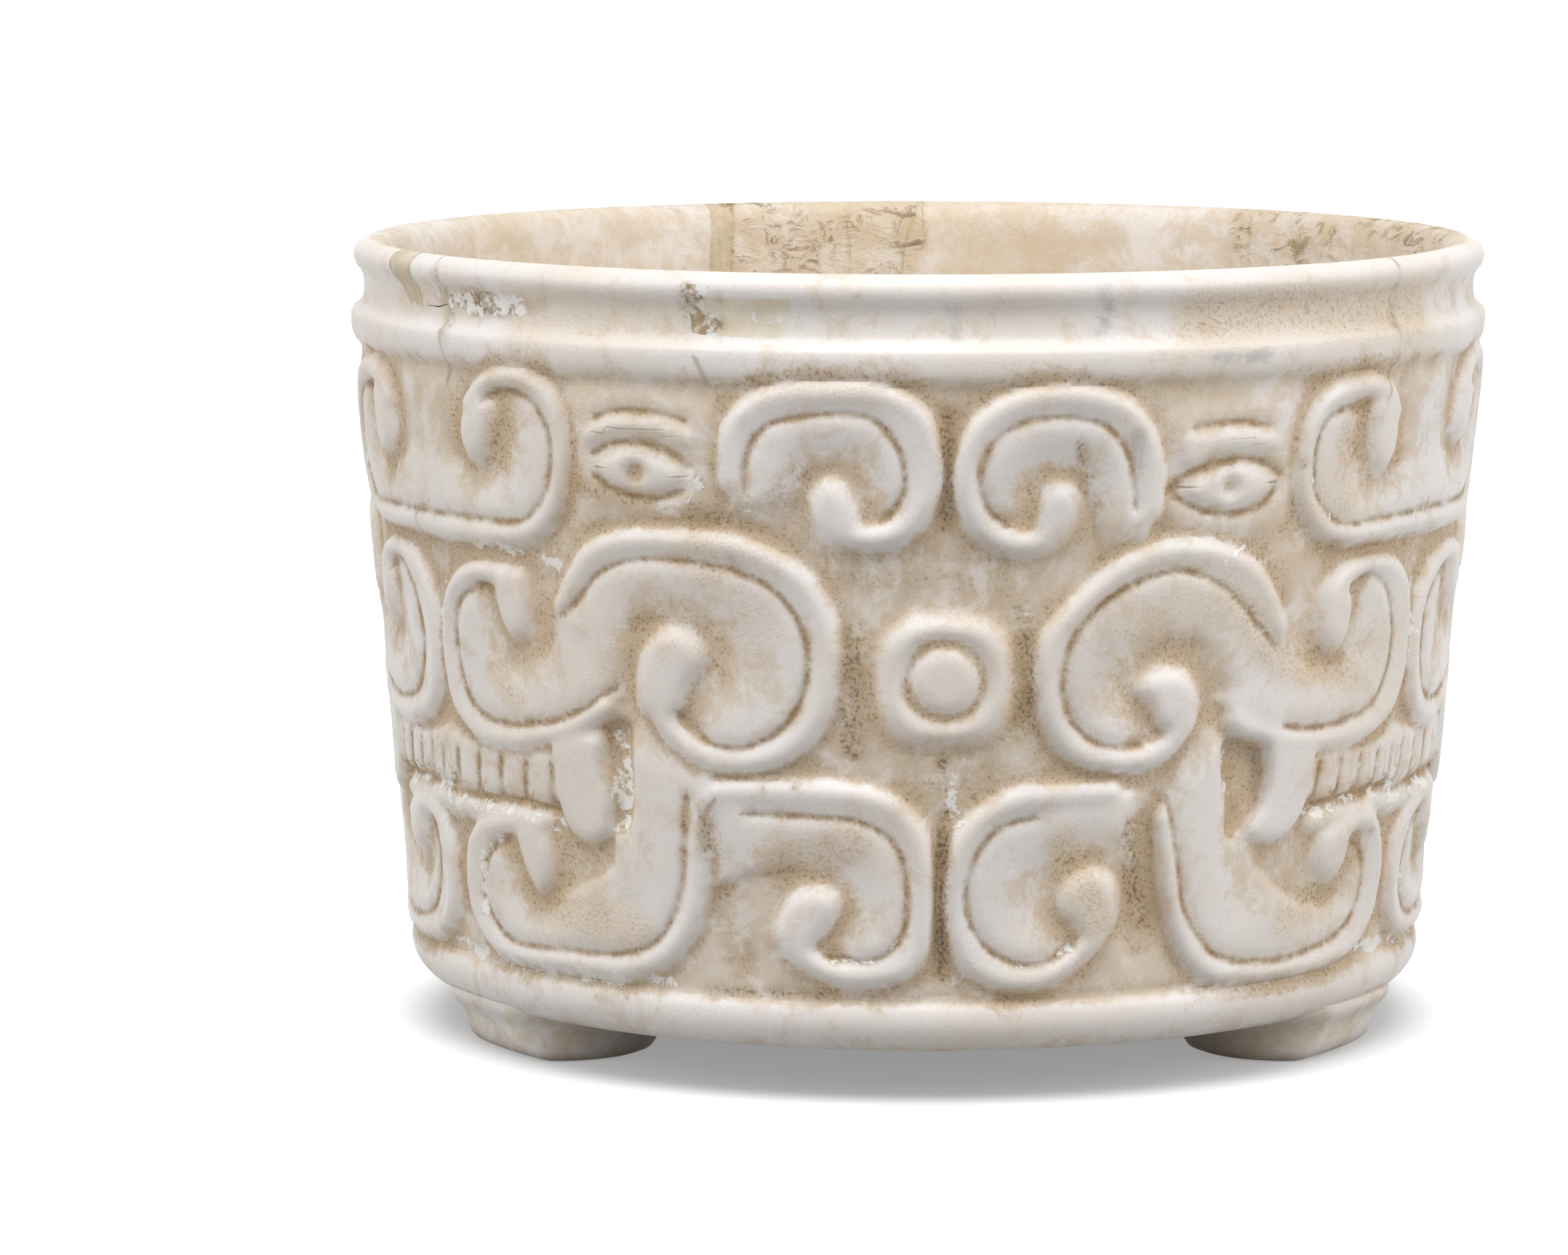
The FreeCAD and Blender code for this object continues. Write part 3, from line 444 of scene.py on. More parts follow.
def on_masks(angle, half):
    """For each mask: which places lie on it, and how far each is from its middle, unrolled to millimetres."""
    for middle, left, right in MASKS:
        turn = (angle - middle + 180) % 360 - 180
        turn = turn / np.where(turn < 0, left, right)
        held = np.nonzero(abs(turn) < half)[0]
        yield held, turn[held] * DEGREE


def carve(angle, up):
    """The same for all three masks round the bowl. Angles are in degrees from the front."""
    height = np.full(len(angle), -FAR)
    nearest = np.full(len(angle), FAR)
    weight = np.zeros(len(angle))
    for held, across in on_masks(angle, MASK_REACH):
        mask_height, mask_nearest, mask_weight = carve_mask(across, up[held])
        closer = abs(mask_nearest) < abs(nearest[held])
        height[held] = np.maximum(height[held], mask_height)
        nearest[held] = np.where(closer, mask_nearest, nearest[held])
        weight[held] = np.where(closer, mask_weight, weight[held])
    return height, nearest, weight


# The relief is worked out once on an even grid round the wall and softened as polishing leaves it. How far a
# place lies below what surrounds it says where dirt stays. Both blurs are in steps of the grid.
GRID_ANGLES = np.arange(-180, 180, 0.3)
GRID_HEIGHTS = np.arange(8, 74, 0.3)
POLISH = 0.85
HOLLOW_REACH = 6


def softened(grid, reach_steps):
    """A grid blurred round the wall and up it, by a bell curve that wide."""
    bell = np.exp(-0.5 * (np.arange(-3 * reach_steps, 3 * reach_steps + 1) / reach_steps) ** 2)
    bell = bell / bell.sum()
    half = len(bell) // 2
    wide = np.concatenate([grid[:, -half:], grid, grid[:, :half]], axis=1)
    round_it = sum(share * wide[:, shift:shift + grid.shape[1]] for shift, share in enumerate(bell))
    tall = np.concatenate([round_it[:1].repeat(half, 0), round_it, round_it[-1:].repeat(half, 0)])
    return sum(share * tall[shift:shift + grid.shape[0]] for shift, share in enumerate(bell))


def off_grid(grid, angle, height):
    """A grid's value at any places, in even steps between its points."""
    across = (angle - GRID_ANGLES[0]) / (GRID_ANGLES[1] - GRID_ANGLES[0])
    up = (height - GRID_HEIGHTS[0]) / (GRID_HEIGHTS[1] - GRID_HEIGHTS[0])
    up = np.clip(up, 0, len(GRID_HEIGHTS) - 1.001)
    column, row = np.floor(across).astype(int), up.astype(int)
    right, above = across - column, up - row
    before, after = column % len(GRID_ANGLES), (column + 1) % len(GRID_ANGLES)
    low = grid[row, before] * (1 - right) + grid[row, after] * right
    high = grid[row + 1, before] * (1 - right) + grid[row + 1, after] * right
    return low * (1 - above) + high * above


grid_angle, grid_height = np.meshgrid(GRID_ANGLES, GRID_HEIGHTS)
carved_grid = carve(grid_angle.ravel(), grid_height.ravel())[0].reshape(grid_angle.shape)
relief_grid = softened(carved_grid, POLISH)
hollow_grid = softened(relief_grid, HOLLOW_REACH) - relief_grid


# The blank is spun from its line, its columns drawn together at the front, and its face moved to the relief.
# Slow uneven moves, as a hand leaves them, and a slight lean of the base come last.
UNEVEN_SCALE = 0.09
UNEVEN = 0.16
LEANING_HEIGHTS = (8, 40)
STILL_RADIUS = 5
LEANING_RADIUS = 45


def polar(places):
    """Radius, angle from the front in degrees and height of mesh places in metres."""
    x, y, z = places.T / MM
    return np.hypot(x, y), np.degrees(np.arctan2(x, -y)), z


def from_polar(radius, angle, height):
    turn = np.radians(angle)
    return np.column_stack([radius * np.sin(turn), -radius * np.cos(turn), height]) * MM


def places_of(mesh):
    places = np.empty(len(mesh.vertices) * 3)
    mesh.vertices.foreach_get("co", places)
    return places.reshape(-1, 3)


def move_to(mesh, places):
    mesh.vertices.foreach_set("co", np.ascontiguousarray(places).ravel())
    mesh.update()


def spun_mesh(name, line, steps, middle=(0, 0)):
    """A closed round form from a (radius, height) line that starts and ends on its own upright axis."""
    bm = bmesh.new()
    bmesh.ops.create_grid(bm, x_segments=steps, y_segments=len(line) - 1, size=1)
    mesh = bpy.data.meshes.new(name)
    bm.to_mesh(mesh)
    across, along, _ = places_of(mesh).T
    radius, height = np.array(line)[np.rint((along + 1) / 2 * (len(line) - 1)).astype(int)].T
    move_to(mesh, from_polar(radius, across * 180, height))
    bm.clear()
    bm.from_mesh(mesh)
    bmesh.ops.remove_doubles(bm, verts=bm.verts, dist=0.001 * MM)
    bmesh.ops.translate(bm, verts=bm.verts, vec=(middle[0] * MM, middle[1] * MM, 0))
    bmesh.ops.recalc_face_normals(bm, faces=bm.faces)
    bm.to_mesh(mesh)
    bm.free()
    return mesh


def placed(name, mesh):
    thing = bpy.data.objects.new(name, mesh)
    bpy.context.scene.collection.objects.link(thing)
    return thing


def joined_shape(thing, steps):
    """The mesh that is left when a thing is joined with, cut by or kept inside other closed things."""
    for operation, other in steps:
        modifier = thing.modifiers.new(other.name, "BOOLEAN")
        modifier.object = other
        modifier.operation = operation
        modifier.solver = "MANIFOLD"
    mesh = bpy.data.meshes.new_from_object(thing.evaluated_get(bpy.context.evaluated_depsgraph_get()))
    thing.modifiers.clear()
    return mesh


def ground_radius(height):
    """Radius of the wall's ground, carried on past both ends of the wall."""
    (low, foot), (high, head) = WALL_FOOT, WALL_HEAD
    return low + (height - foot) * (high - low) / (head - foot)


def waver(places, scale, amount):
    """Slow uneven moves, as a hand leaves them, for places in millimetres."""
    return amount * np.array([noise.noise(Vector(place) * scale) for place in places])


runs = [(UNDERSIDE, UNDERSIDE_STEP), (BASE_MOULDING, MOULDING_STEP), ([WALL_FOOT, WALL_HEAD], WALL_STEP),
        (TOP_MOULDINGS, MOULDING_STEP), (INNER_WALL, INNER_STEP), (INNER_FLOOR, INNER_STEP)]
profile = np.vstack([smooth_line(points, step)[:-1] for points, step in runs] + [INNER_FLOOR[-1:]])
blank = placed("marble_blank", spun_mesh("marble_blank", profile, COLUMNS))
radius, angle, height = polar(places_of(blank.data))
angle = angle - math.degrees(FRONT_CROWDING) * np.sin(np.radians(angle))
low, high = CARVED_HEIGHTS
outer = np.nonzero((radius > ground_radius(height) - 1) & (height > low) & (height < high))[0]
carved_radius = ground_radius(height[outer]) + off_grid(relief_grid, angle[outer], height[outer])
on_wall = (height[outer] > WALL_FOOT[1]) & (height[outer] < WALL_HEAD[1])
radius[outer] = np.where(on_wall, carved_radius, np.maximum(radius[outer], carved_radius))
radius += (radius > STILL_RADIUS) * waver(from_polar(radius, angle, height) / MM, UNEVEN_SCALE, UNEVEN)
leaning = (radius > LEANING_RADIUS) * (1 - ramp(*LEANING_HEIGHTS, height))
radius -= BASE_LEAN * np.sin(np.radians(angle)) * leaning
move_to(blank.data, from_polar(radius, angle, height))

# Feet: three low discs with a soft edge below and a flare into the underside, worn back on the outside to a
# line of (radius from the bowl's axis, height)
FOOT_MIDDLE = 42
FOOT_TOP = 6
FOOT_LINE = [(0, 0), (5, 0), (8.4, 0), (9.2, 0.3), (9.6, 0.9), (9.7, 2), (10, 3.2), (10.5, 4.1), (11.3, 5.1),
             (11.5, FOOT_TOP)]
FOOT_OUTSIDE = [(47.6, 0), (48.6, 0.3), (49.3, 0.9), (49.8, 1.8), (50, 2.8), (50.2, 3.4), (50.9, 4.2),
                (51.7, 5.2), (51.8, FOOT_TOP)]
FOOT_STEP = 0.6
FOOT_COLUMNS = 120
for place, foot_angle in (("rear", 180), ("left", -60), ("right", 60)):
    turn = math.radians(foot_angle)
    middle = (FOOT_MIDDLE * math.sin(turn), -FOOT_MIDDLE * math.cos(turn))
    line = np.vstack([smooth_line(FOOT_LINE, FOOT_STEP), (0, FOOT_TOP)])
    foot = placed(place + "_foot", spun_mesh(place + "_foot", line, FOOT_COLUMNS, middle))
    foot_radius, foot_turn, foot_height = polar(places_of(foot.data))
    outside_radius, outside_height = np.array(FOOT_OUTSIDE).T
    held_radius = np.minimum(foot_radius, np.interp(foot_height, outside_height, outside_radius))
    move_to(foot.data, from_polar(held_radius, foot_turn, foot_height))
    blank.data = joined_shape(blank, [("UNION", foot)])

# Breaks: the wall was broken and put back together, so two stretches of it are sherds, cut out along lines
# that the photograph shows. An edge is (degrees, height) down a break, and a foot line runs below a stretch.
LEFT_BREAK = [(-57, 82.5), (-56, 80), (-55.2, 78), (-54.9, 75.5), (-54.6, 72.8), (-54.1, 71.2), (-54.9, 68.5),
              (-56, 64), (-56.6, 59), (-58.5, 54), (-60, 48)]
LEFT_FOOT = [(-54, 51.5), (-60, 51.2), (-66, 52.6), (-72, 52), (-80, 50.2), (-100, 49.4), (-126, 51),
             (-150, 52.6), (-156, 55.5), (-160, 58.6), (-166, 60), (-172, 61.6), (-176, 66), (-181, 71)]
SPLINTER_BREAK = [(-181.5, 82.5), (-180.6, 79), (-179.6, 76), (-179.2, 73), (-180, 70), (-181, 66)]
RIGHT_BREAK = [(53.9, 82.5), (53.2, 79), (53, 77), (53.4, 74.7), (53, 72.5), (53, 71), (51.4, 67.6), (50, 65),
               (48.1, 63), (45.6, 59.9), (45.2, 56), (45.5, 50)]
RIGHT_FOOT = [(44, 57.2), (50, 55.6), (58, 54.4), (75, 54), (100, 55), (120, 54.2), (138, 54)]
RIGHT_REAR_BREAK = [(137.6, 82.5), (136.6, 78), (136, 73), (137, 66), (136.2, 58), (137, 50)]
REAR_EDGES = {
    "left_end": [(-156.6, 82.5), (-156, 78), (-155.6, 72), (-156.4, 64), (-156, 48)],
    "filler_end": [(-159.4, 82.5), (-158.9, 78), (-158.2, 72), (-159, 64), (-158.6, 48)],
    "sherd_end": [(-173.6, 82.5), (-172.8, 78), (-173.2, 74), (-172.4, 68), (-173, 56)],
}
BLOCK_INSIDE = 38
BLOCK_OUTSIDE = 66
BLOCK_CUTS = 40
# How uneven a break is, and the two scales of that, per millimetre
BREAK_ROUGH = 0.2
ROUGH_SCALES = (0.45, 1.3)


def edge_angle(edge, height):
    """Where a break line stands at a height."""
    line = smooth_line(edge, LINE_STEP)[::-1]
    return np.interp(height, line[:, 1], line[:, 0])


def break_block(name, start, end, foot, top=RIM_TOP + 6, inside=BLOCK_INSIDE):
    """A block between two break lines, from a foot line up, with rough sides."""
    bm = bmesh.new()
    bmesh.ops.create_cube(bm, size=1)
    bmesh.ops.subdivide_edges(bm, edges=bm.edges[:], cuts=BLOCK_CUTS, use_grid_fill=True)
    mesh = bpy.data.meshes.new(name)
    bm.to_mesh(mesh)
    bm.free()
    across, deep, rise = (places_of(mesh) + 0.5).T
    foot_line = np.array(sorted(foot))
    rough_angle = start[0][0] + (end[0][0] - start[0][0]) * across
    low = np.interp(rough_angle, foot_line[:, 0], foot_line[:, 1])
    height = low + (top - low) * rise
    angle = edge_angle(start, height) * (1 - across) + edge_angle(end, height) * across
    radius = inside + (BLOCK_OUTSIDE - inside) * deep
    places = from_polar(radius, angle, height) / MM
    broad_scale, fine_scale = ROUGH_SCALES
    angle += waver(places, broad_scale, BREAK_ROUGH) + waver(places, fine_scale, BREAK_ROUGH / 3)
    height += waver(places + 50, broad_scale, BREAK_ROUGH) * (rise < 0.5)
    move_to(mesh, from_polar(radius, angle, height))
    bm = bmesh.new()
    bm.from_mesh(mesh)
    bmesh.ops.recalc_face_normals(bm, faces=bm.faces)
    bm.to_mesh(mesh)
    bm.free()
    return placed(name, mesh)


def upright(angle):
    """A plain upright edge, for the far side of a block that another block bounds."""
    return [(angle, RIM_TOP + 6), (angle, 40)]


left_gap = break_block("left_gap", LEFT_BREAK, SPLINTER_BREAK, LEFT_FOOT)
right_gap = break_block("right_gap", RIGHT_BREAK, RIGHT_REAR_BREAK, RIGHT_FOOT)
CHIP_EDGE = [(-21, 82), (-21.2, 79.3), (-21.8, 78), (-21.2, 77), (-20.1, 76.2), (-20.4, 75), (-21, 72)]
chip_block = break_block("chip_block", CHIP_EDGE,
                         [(-22.9, 82), (-23.4, 80), (-23.7, 78), (-23.5, 76), (-23, 74), (-23, 72)],
                         [(-24, 75.4), (-22, 75), (-20, 75.6)], top=79.9, inside=55.3)
patch_block = break_block("patch_block", [(-13.6, 82), (-13.3, 78), (-13.8, 76), (-13.6, 72)],
                          CHIP_EDGE,
                          [(-21, 75), (-17, 74.8), (-13, 75.2)], top=78.7, inside=56)
RIM_SHERD_EDGE = [(-61.6, 84), (-61.2, 80), (-60.6, 77.6), (-60, 75.5), (-60, 74)]
RIM_FILLER_EDGE = [(-67.2, 84), (-66.6, 80.6), (-65, 78), (-63, 76.2), (-62.4, 74)]
RIM_FOOT = [(-53, 76.6), (-57, 76.4), (-60, 76), (-62, 75.9), (-68, 76.2)]
rim_sherd_block = break_block("rim_sherd_block", LEFT_BREAK[:6] + [(-54.6, 72)], RIM_SHERD_EDGE, RIM_FOOT)
rim_filler_block = break_block("rim_filler_block", RIM_SHERD_EDGE, RIM_FILLER_EDGE, RIM_FOOT)
rim_gap = break_block("rim_gap", [(angle + 2, height) for angle, height in LEFT_BREAK[:6] + [(-54.6, 72)]],
                      RIM_FILLER_EDGE, RIM_FOOT)
deep_foot = [(-190, 42), (190, 42)]
side_blocks = {}
sides = [upright(-48), *REAR_EDGES.values(), upright(-188)]
for name, start, end in zip(("left_wall", "rear_filler", "rear_wall", "splinter"), sides, sides[1:]):
    side_blocks[name] = break_block(name + "_sides", start, end, deep_foot)

# Marks that sit on the stone: brown and black grime in the low places, white crust left from the ground the
# bowl lay in, and fine dark lines at the breaks and cracks. Grime and crust repeat with the masks. A mark
# is a strength, a width and a line of (degrees, height).
GRIME = [
    (1.0, 1.5, [(1.5, 13), (1.6, 20), (1.5, 27)]), (0.9, 1.4, [(1.6, 57), (1.5, 62), (1.6, 67.5)]),
    (0.9, 2.2, [(-7.6, 35), (-7.9, 41), (-7.2, 47)]), (0.85, 1.9, [(9.4, 37), (10.1, 43), (9.2, 49)]),
    (0.95, 2.2, [(21.6, 27), (22, 23), (23.6, 18)]), (0.8, 1.5, [(-23.2, 29), (-23.4, 25)]),
    (0.6, 4, [(-6, 52), (0, 53), (8, 51.5)]), (0.6, 3.5, [(-3, 31.4), (3, 31), (6, 32.5)]),
    (0.8, 1.3, [(-24, 10.4), (-16, 10.7), (-9, 10.8)]), (0.6, 1.1, [(-9, 10.6), (8, 10.6), (20, 10.8),
                                                                    (36, 10.6)]),
    (0.6, 1.4, [(36, 9.9), (44, 10), (52, 10.2)]), (0.55, 3, [(-20, 12), (-21, 18), (-22, 24)]),
    (1.0, 1.1, [(1.4, 34), (2, 30), (1.4, 27)]), (0.9, 1.1, [(14.5, 64.7), (15.4, 62), (16.5, 59)]),
    (0.7, 2, [(-13.5, 61.5), (-14.5, 59.5)]), (1, 0.8, [(-12, 62.2), (-12.1, 62)]),
    (1, 0.7, [(-17, 31.2), (-16.8, 31.1)]), (1, 0.7, [(-13.5, 31.5), (-13.3, 31.4)]),
    (1, 0.7, [(5.3, 69), (5.4, 68.8)]), (1, 0.8, [(39.5, 62), (39.6, 61.8)]), (1, 0.9, [(22, 21.8),
                                                                                        (22.3, 21.6)]),
    (1, 0.8, [(-54.2, 20.8), (-54, 20.7)]), (1, 0.7, [(56.5, 23.4), (56.7, 23.3)]),
    (1, 0.6, [(-23, 61.3), (-22.4, 60.6)]), (0.6, 1.6, [(45.2, 53), (52, 52.4), (60, 52.7)]),
    (0.7, 1.8, [(-36.3, 59.5), (-24, 57.8), (-18, 57.6)]), (0.6, 2, [(33.4, 33), (34.6, 29), (35, 26.5)]),
]
CRUST = [
    (1.0, 1.1, [(-55.2, 15.4), (-55.4, 18), (-54.6, 21), (-52, 23)]),
    (1.0, 1.2, [(-62, 10.9), (-48, 10.9), (-34, 10.8), (-28, 11)]),
    (0.8, 1.4, [(-62, 26), (-50, 26.3), (-42, 26)]), (0.8, 1.0, [(-59.4, 40), (-59.6, 45), (-59.2, 50)]),
    (1.0, 1.7, [(-33.6, 26.5), (-33.4, 31), (-33.6, 35.5)]), (0.7, 1.2, [(3, 27), (2.2, 31), (4, 34)]),
    (0.9, 1.1, [(2.6, 12), (4, 13), (5.2, 14.4)]), (0.9, 0.6, [(30.5, 52.8), (33, 54), (34.6, 54.8)]),
    (0.8, 1.1, [(-52, 53), (-44, 52.6), (-40, 51.5)]), (0.9, 0.5, [(41.2, 62), (41.7, 59), (44, 56.2)]),
    (0.9, 0.45, [(-10, 14.2), (-5, 14.3), (-3, 16.5)]), (0.9, 0.45, [(9, 13.8), (12.6, 13.8), (15.6, 15.6)]),
    (0.8, 1.2, [(44.5, 26.4), (52, 27), (62, 27.8)]), (0.8, 0.9, [(33, 33), (33.4, 27)]),
    (0.8, 0.9, [(57.6, 11.2), (60, 11.4)]),
    *((0.55, 0.5, [(foot, 28), (head, 31.3)]) for foot, head in TEETH),
    (0.5, 0.9, [(-20.4, 57.5), (-16, 58.5)]), (0.8, 0.7, [(-25, 61.5), (-22.6, 60.4), (-24, 59)]),
]
# Brown stains, grime and crust that only the front of the neck and the left and right edges have
STAINS = [
    (1.0, 4.5, [(27, 76.5), (38, 76.8), (48, 76), (58, 76.2)]), (0.8, 3, [(-64, 76.5), (-58, 77), (-50, 77)]),
    (0.5, 4, [(-44, 76), (-34, 76.6), (-24, 76)]), (0.7, 2.2, [(40, 70.8), (52, 70.4), (60, 70.6)]),
    (0.6, 2, [(-60, 70), (-50, 70.4), (-40, 70)]), (0.5, 2, [(-26, 70), (-14, 70.2), (14, 70.3), (26, 70)]),
    (0.5, 5, [(-28, 47), (-18, 46), (-20, 58)]), (0.45, 6, [(20, 47), (28, 48), (44, 60)]),
    (0.9, 3, [(-47, 62), (-46, 66)]), (0.8, 2.6, [(-50, 40), (-47, 38)]), (0.8, 3.5, [(46, 58), (46, 64),
                                                                                      (48, 66)]),
    (0.8, 3, [(-23, 58), (-22, 52)]), (0.9, 3, [(34, 47), (38, 43), (50, 40)]), (0.8, 3.5, [(-8, 26),
                                                                                            (-16, 24)]),
    (0.8, 3, [(14, 26), (18, 18)]), (0.8, 3.5, [(-44, 17), (-32, 16)]), (0.8, 3, [(42, 16), (48, 18)]),
]
GREY_VEINS = [
    (0.8, 1.1, [(16.4, 80), (17, 77.5), (16.6, 75.4)]), (0.8, 0.8, [(28, 72.8), (31, 72.5), (34, 72.8)]),
    (0.7, 0.9, [(-19.5, 53.8), (-18.5, 53.2)]), (0.7, 0.7, [(-20.6, 57.8), (-19.6, 57.4)]),
    (0.7, 0.8, [(-41, 50.4), (-40, 50.2)]), (0.7, 1.2, [(20.4, 62), (20.2, 65.5)]), (0.6, 0.8, [(2.2, 78),
                                                                                                (2.4, 75)]),
]
NECK_GRIME = [
    (0.8, 1.2, [(53.2, 78.4), (53.5, 76.4), (53, 74.4)]), (0.6, 1.6, [(-56, 79), (-54.6, 76.4), (-54.4, 72)]),
    (0.9, 0.9, [(-23.6, 79.6), (-24, 77.6), (-23.6, 75.6)]), (0.7, 0.8, [(-20.4, 78.8), (-20.1, 76)]),
    (0.6, 1.3, [(40, 70.2), (47, 69.8)]), (0.7, 0.5, [(-6.8, 79.2), (-6.6, 79.1)]),
    (1.0, 0.45, [(-74.6, 75.5), (-74.4, 75.5)]),
]
NECK_CRUST = [
    (0.9, 0.9, [(-56.6, 80.6), (-57, 78.4), (-56.4, 76.6)]), (0.9, 0.7, [(-54, 71.8), (-54.2, 70.6)]),
    (0.5, 1.4, [(-60.4, 76.2), (-62, 75.4)]), (0.45, 1.6, [(-17.5, 76.8), (-14.8, 76.6)]),
]
HAIRLINES = [
    LEFT_BREAK[:7], RIGHT_BREAK[:10], RIGHT_REAR_BREAK, SPLINTER_BREAK[:4], *REAR_EDGES.values(),
    RIM_SHERD_EDGE[:4], RIM_FILLER_EDGE[:4], [(-75, 51), (-72.5, 52.1), (-70, 53)],
    [(-22.5, 72.8), (-21.9, 71.6), (-21.5, 70.3)],
    [(53.9, 60.5), (54.7, 58.5)], [(-22, 29.8), (-23.3, 28), (-23.6, 25)], [(-61.5, 37.8), (-60, 38.2)],
]
# The rough dent in the neck: its middle in degrees, its height, and half its length and width
GOUGE = (-49, 76.8, 8.5, 1.7)
GOUGE_EDGE = (0.55, 1.05)
GOUGE_CRUST = 0.8
MARK_REACH = 62
MARK_MIDDLE = 0.2
HAIRLINE_COUNTS = (0.7, 1.5)
HAIRLINE_END = 0.5


def soft_marks(marks, across, up):
    """How strongly marks cover each place."""
    cover = np.zeros(len(across))
    for strength, width, points in marks:
        line = flat_line(points)
        held = near_line(line, across, up, width + 0.5)
        apart = reach(line, across[held], up[held])[0]
        cover[held] = np.maximum(cover[held], strength * (1 - ramp(MARK_MIDDLE * width, width, apart)))
    return cover


def masks_round(marks, angle, up):
    """The same marks on all three masks."""
    cover = np.zeros(len(angle))
    for held, across in on_masks(angle, MARK_REACH):
        cover[held] = np.maximum(cover[held], soft_marks(marks, across, up[held]))
    return cover


def line_distance(lines, across, up):
    """The signed distance to the nearest of some lines, and how near it counts."""
    nearest = np.full(len(across), FAR)
    weight = np.zeros(len(across))
    for points in lines:
        line = flat_line(points)
        held = near_line(line, across, up, GROOVE_MARGIN)
        if not len(held):
            continue
        apart, side, past = reach(line, across[held], up[held])
        closer = apart < abs(nearest[held])
        counts = (1 - ramp(*HAIRLINE_COUNTS, apart)) * (1 - ramp(0, HAIRLINE_END, past))
        nearest[held] = np.where(closer, apart * side, nearest[held])
        weight[held] = np.where(closer, counts, weight[held])
    return nearest, weight


def gouge_cover(angle, height):
    """How far into the rough dent in the neck each place lies."""
    middle, rise, half, tall = GOUGE
    return 1 - ramp(*GOUGE_EDGE, np.hypot((angle - middle) * DEGREE / half, (height - rise) / tall))


def marked(mesh):
    """Writes each place's marks on a piece's mesh, for its material to read."""
    radius, angle, height = polar(places_of(mesh))
    face = radius > ground_radius(height) - FACE_DEPTH
    angle_round = np.where(angle > 178, angle - 360, angle)
    level = np.interp(height, *zip(*EXPOSURE))
    wall = np.nonzero(face & (height > CARVED_HEIGHTS[0]) & (height < CARVED_HEIGHTS[1]))[0]
    groove, groove_near = carve(angle[wall], height[wall])[1:]
    relief = off_grid(relief_grid, angle[wall], height[wall])
    names = ("exposure", "hollow", "groove_near", "grime", "crust", "inside", "broken", "tan", "grey_vein")
    values = {name: np.zeros(len(radius)) for name in names}
    values["hollow"][wall] = off_grid(hollow_grid, angle[wall], height[wall])
    values["groove_side"] = np.full(len(radius), FAR)
    values["exposure"][:] = np.where(face, level, INSIDE_EXPOSURE)
    values["exposure"][wall] = np.maximum(level[wall], relief / CREST)
    values["groove_side"][wall] = groove
    values["groove_near"][wall] = groove_near
    values["grime"][wall] = masks_round(GRIME, angle[wall], height[wall])
    values["crust"][wall] = masks_round(CRUST, angle[wall], height[wall])
    dent = gouge_cover(angle, height) * face
    values["crust"] = np.maximum(values["crust"], dent * GOUGE_CRUST)
    values["grime"] = np.maximum(values["grime"], dent)
    front = np.nonzero(face & (abs(angle) < 90))[0]
    front_marks = {"tan": STAINS, "grime": NECK_GRIME, "crust": NECK_CRUST, "grey_vein": GREY_VEINS}
    for name, marks in front_marks.items():
        cover = soft_marks(marks, angle[front] * DEGREE, height[front])
        values[name][front] = np.maximum(values[name][front], cover)
    values["inside"][:] = ~face & (height > FLOOR_LEVEL)
    for start, end, low, strength in ROUGH_INSIDE:
        across = ramp(start - 0.6, start + 0.6, angle_round) * (1 - ramp(end - 0.6, end + 0.6, angle_round))
        cover = strength * across * ~face * ramp(low - 2, low + 2, height)
        values["broken"] = np.maximum(values["broken"], cover)
    lines = line_distance(HAIRLINES, angle_round * DEGREE, height)
    values["hairline_side"], values["hairline_near"] = lines
    for name, value in values.items():
        mesh.attributes.new(name, "FLOAT", "POINT").data.foreach_set("value", value.astype(np.float32))


FACE_DEPTH = 2
FLOOR_LEVEL = 11.5
# Stretches of the inner wall that are rough: from and to in degrees, from which height, how strongly
ROUGH_INSIDE = [(-182, -158, 60, 1.0), (93, 137, 66, 0.9), (136, 139.4, 60, 1.0), (-157.5, -150, 70, 0.4),
                (-170, -168, 70, 0.8)]
INSIDE_EXPOSURE = 0.4
# How rubbed clean the outside is at each height, where no relief says more
EXPOSURE = [(4.8, 0.55), (5.6, 0.8), (7, 1), (9, 1), (9.7, 0.45), (10.3, 0), (69.7, 0), (70.3, 0.15),
            (71, 0.6), (72, 0.95), (74, 1), (74.8, 0.75), (76.5, 0.68), (77.8, 0.72), (78.6, 0.9),
            (79.5, 1), (81, 1)]
SMOOTH_ANGLE = math.radians(50)
# Each piece's CAD node, finish, the blocks it lies inside, and the blocks that are cut out of it
PIECES = {
    "carved_bowl": ("bowl_body", "marble", [], [left_gap, right_gap, chip_block, patch_block]),
    "left_sherd": ("left_wall_sherd", "marble", [left_gap, side_blocks["left_wall"]], [rim_gap]),
    "right_sherd": ("right_wall_sherd", "marble", [right_gap], []),
    "rear_sherd": ("rear_wall_sherd", "marble", [left_gap, side_blocks["rear_wall"]], []),
    "splinter": ("rear_splinter", "marble", [left_gap, side_blocks["splinter"]], []),
    "small_rim_sherd": ("rim_sherd", "marble", [left_gap, rim_sherd_block], []),
    "rear_fill": ("rear_filler_strip", "grey_plaster", [left_gap, side_blocks["rear_filler"]], []),
    "rim_fill": ("rim_filler", "grey_plaster", [left_gap, rim_filler_block], []),
    "chip_fill": ("chip_filler", "granular_filler", [chip_block], []),
    "patch": ("neck_patch", "toned_plaster", [patch_block], []),
}
dressed = {}
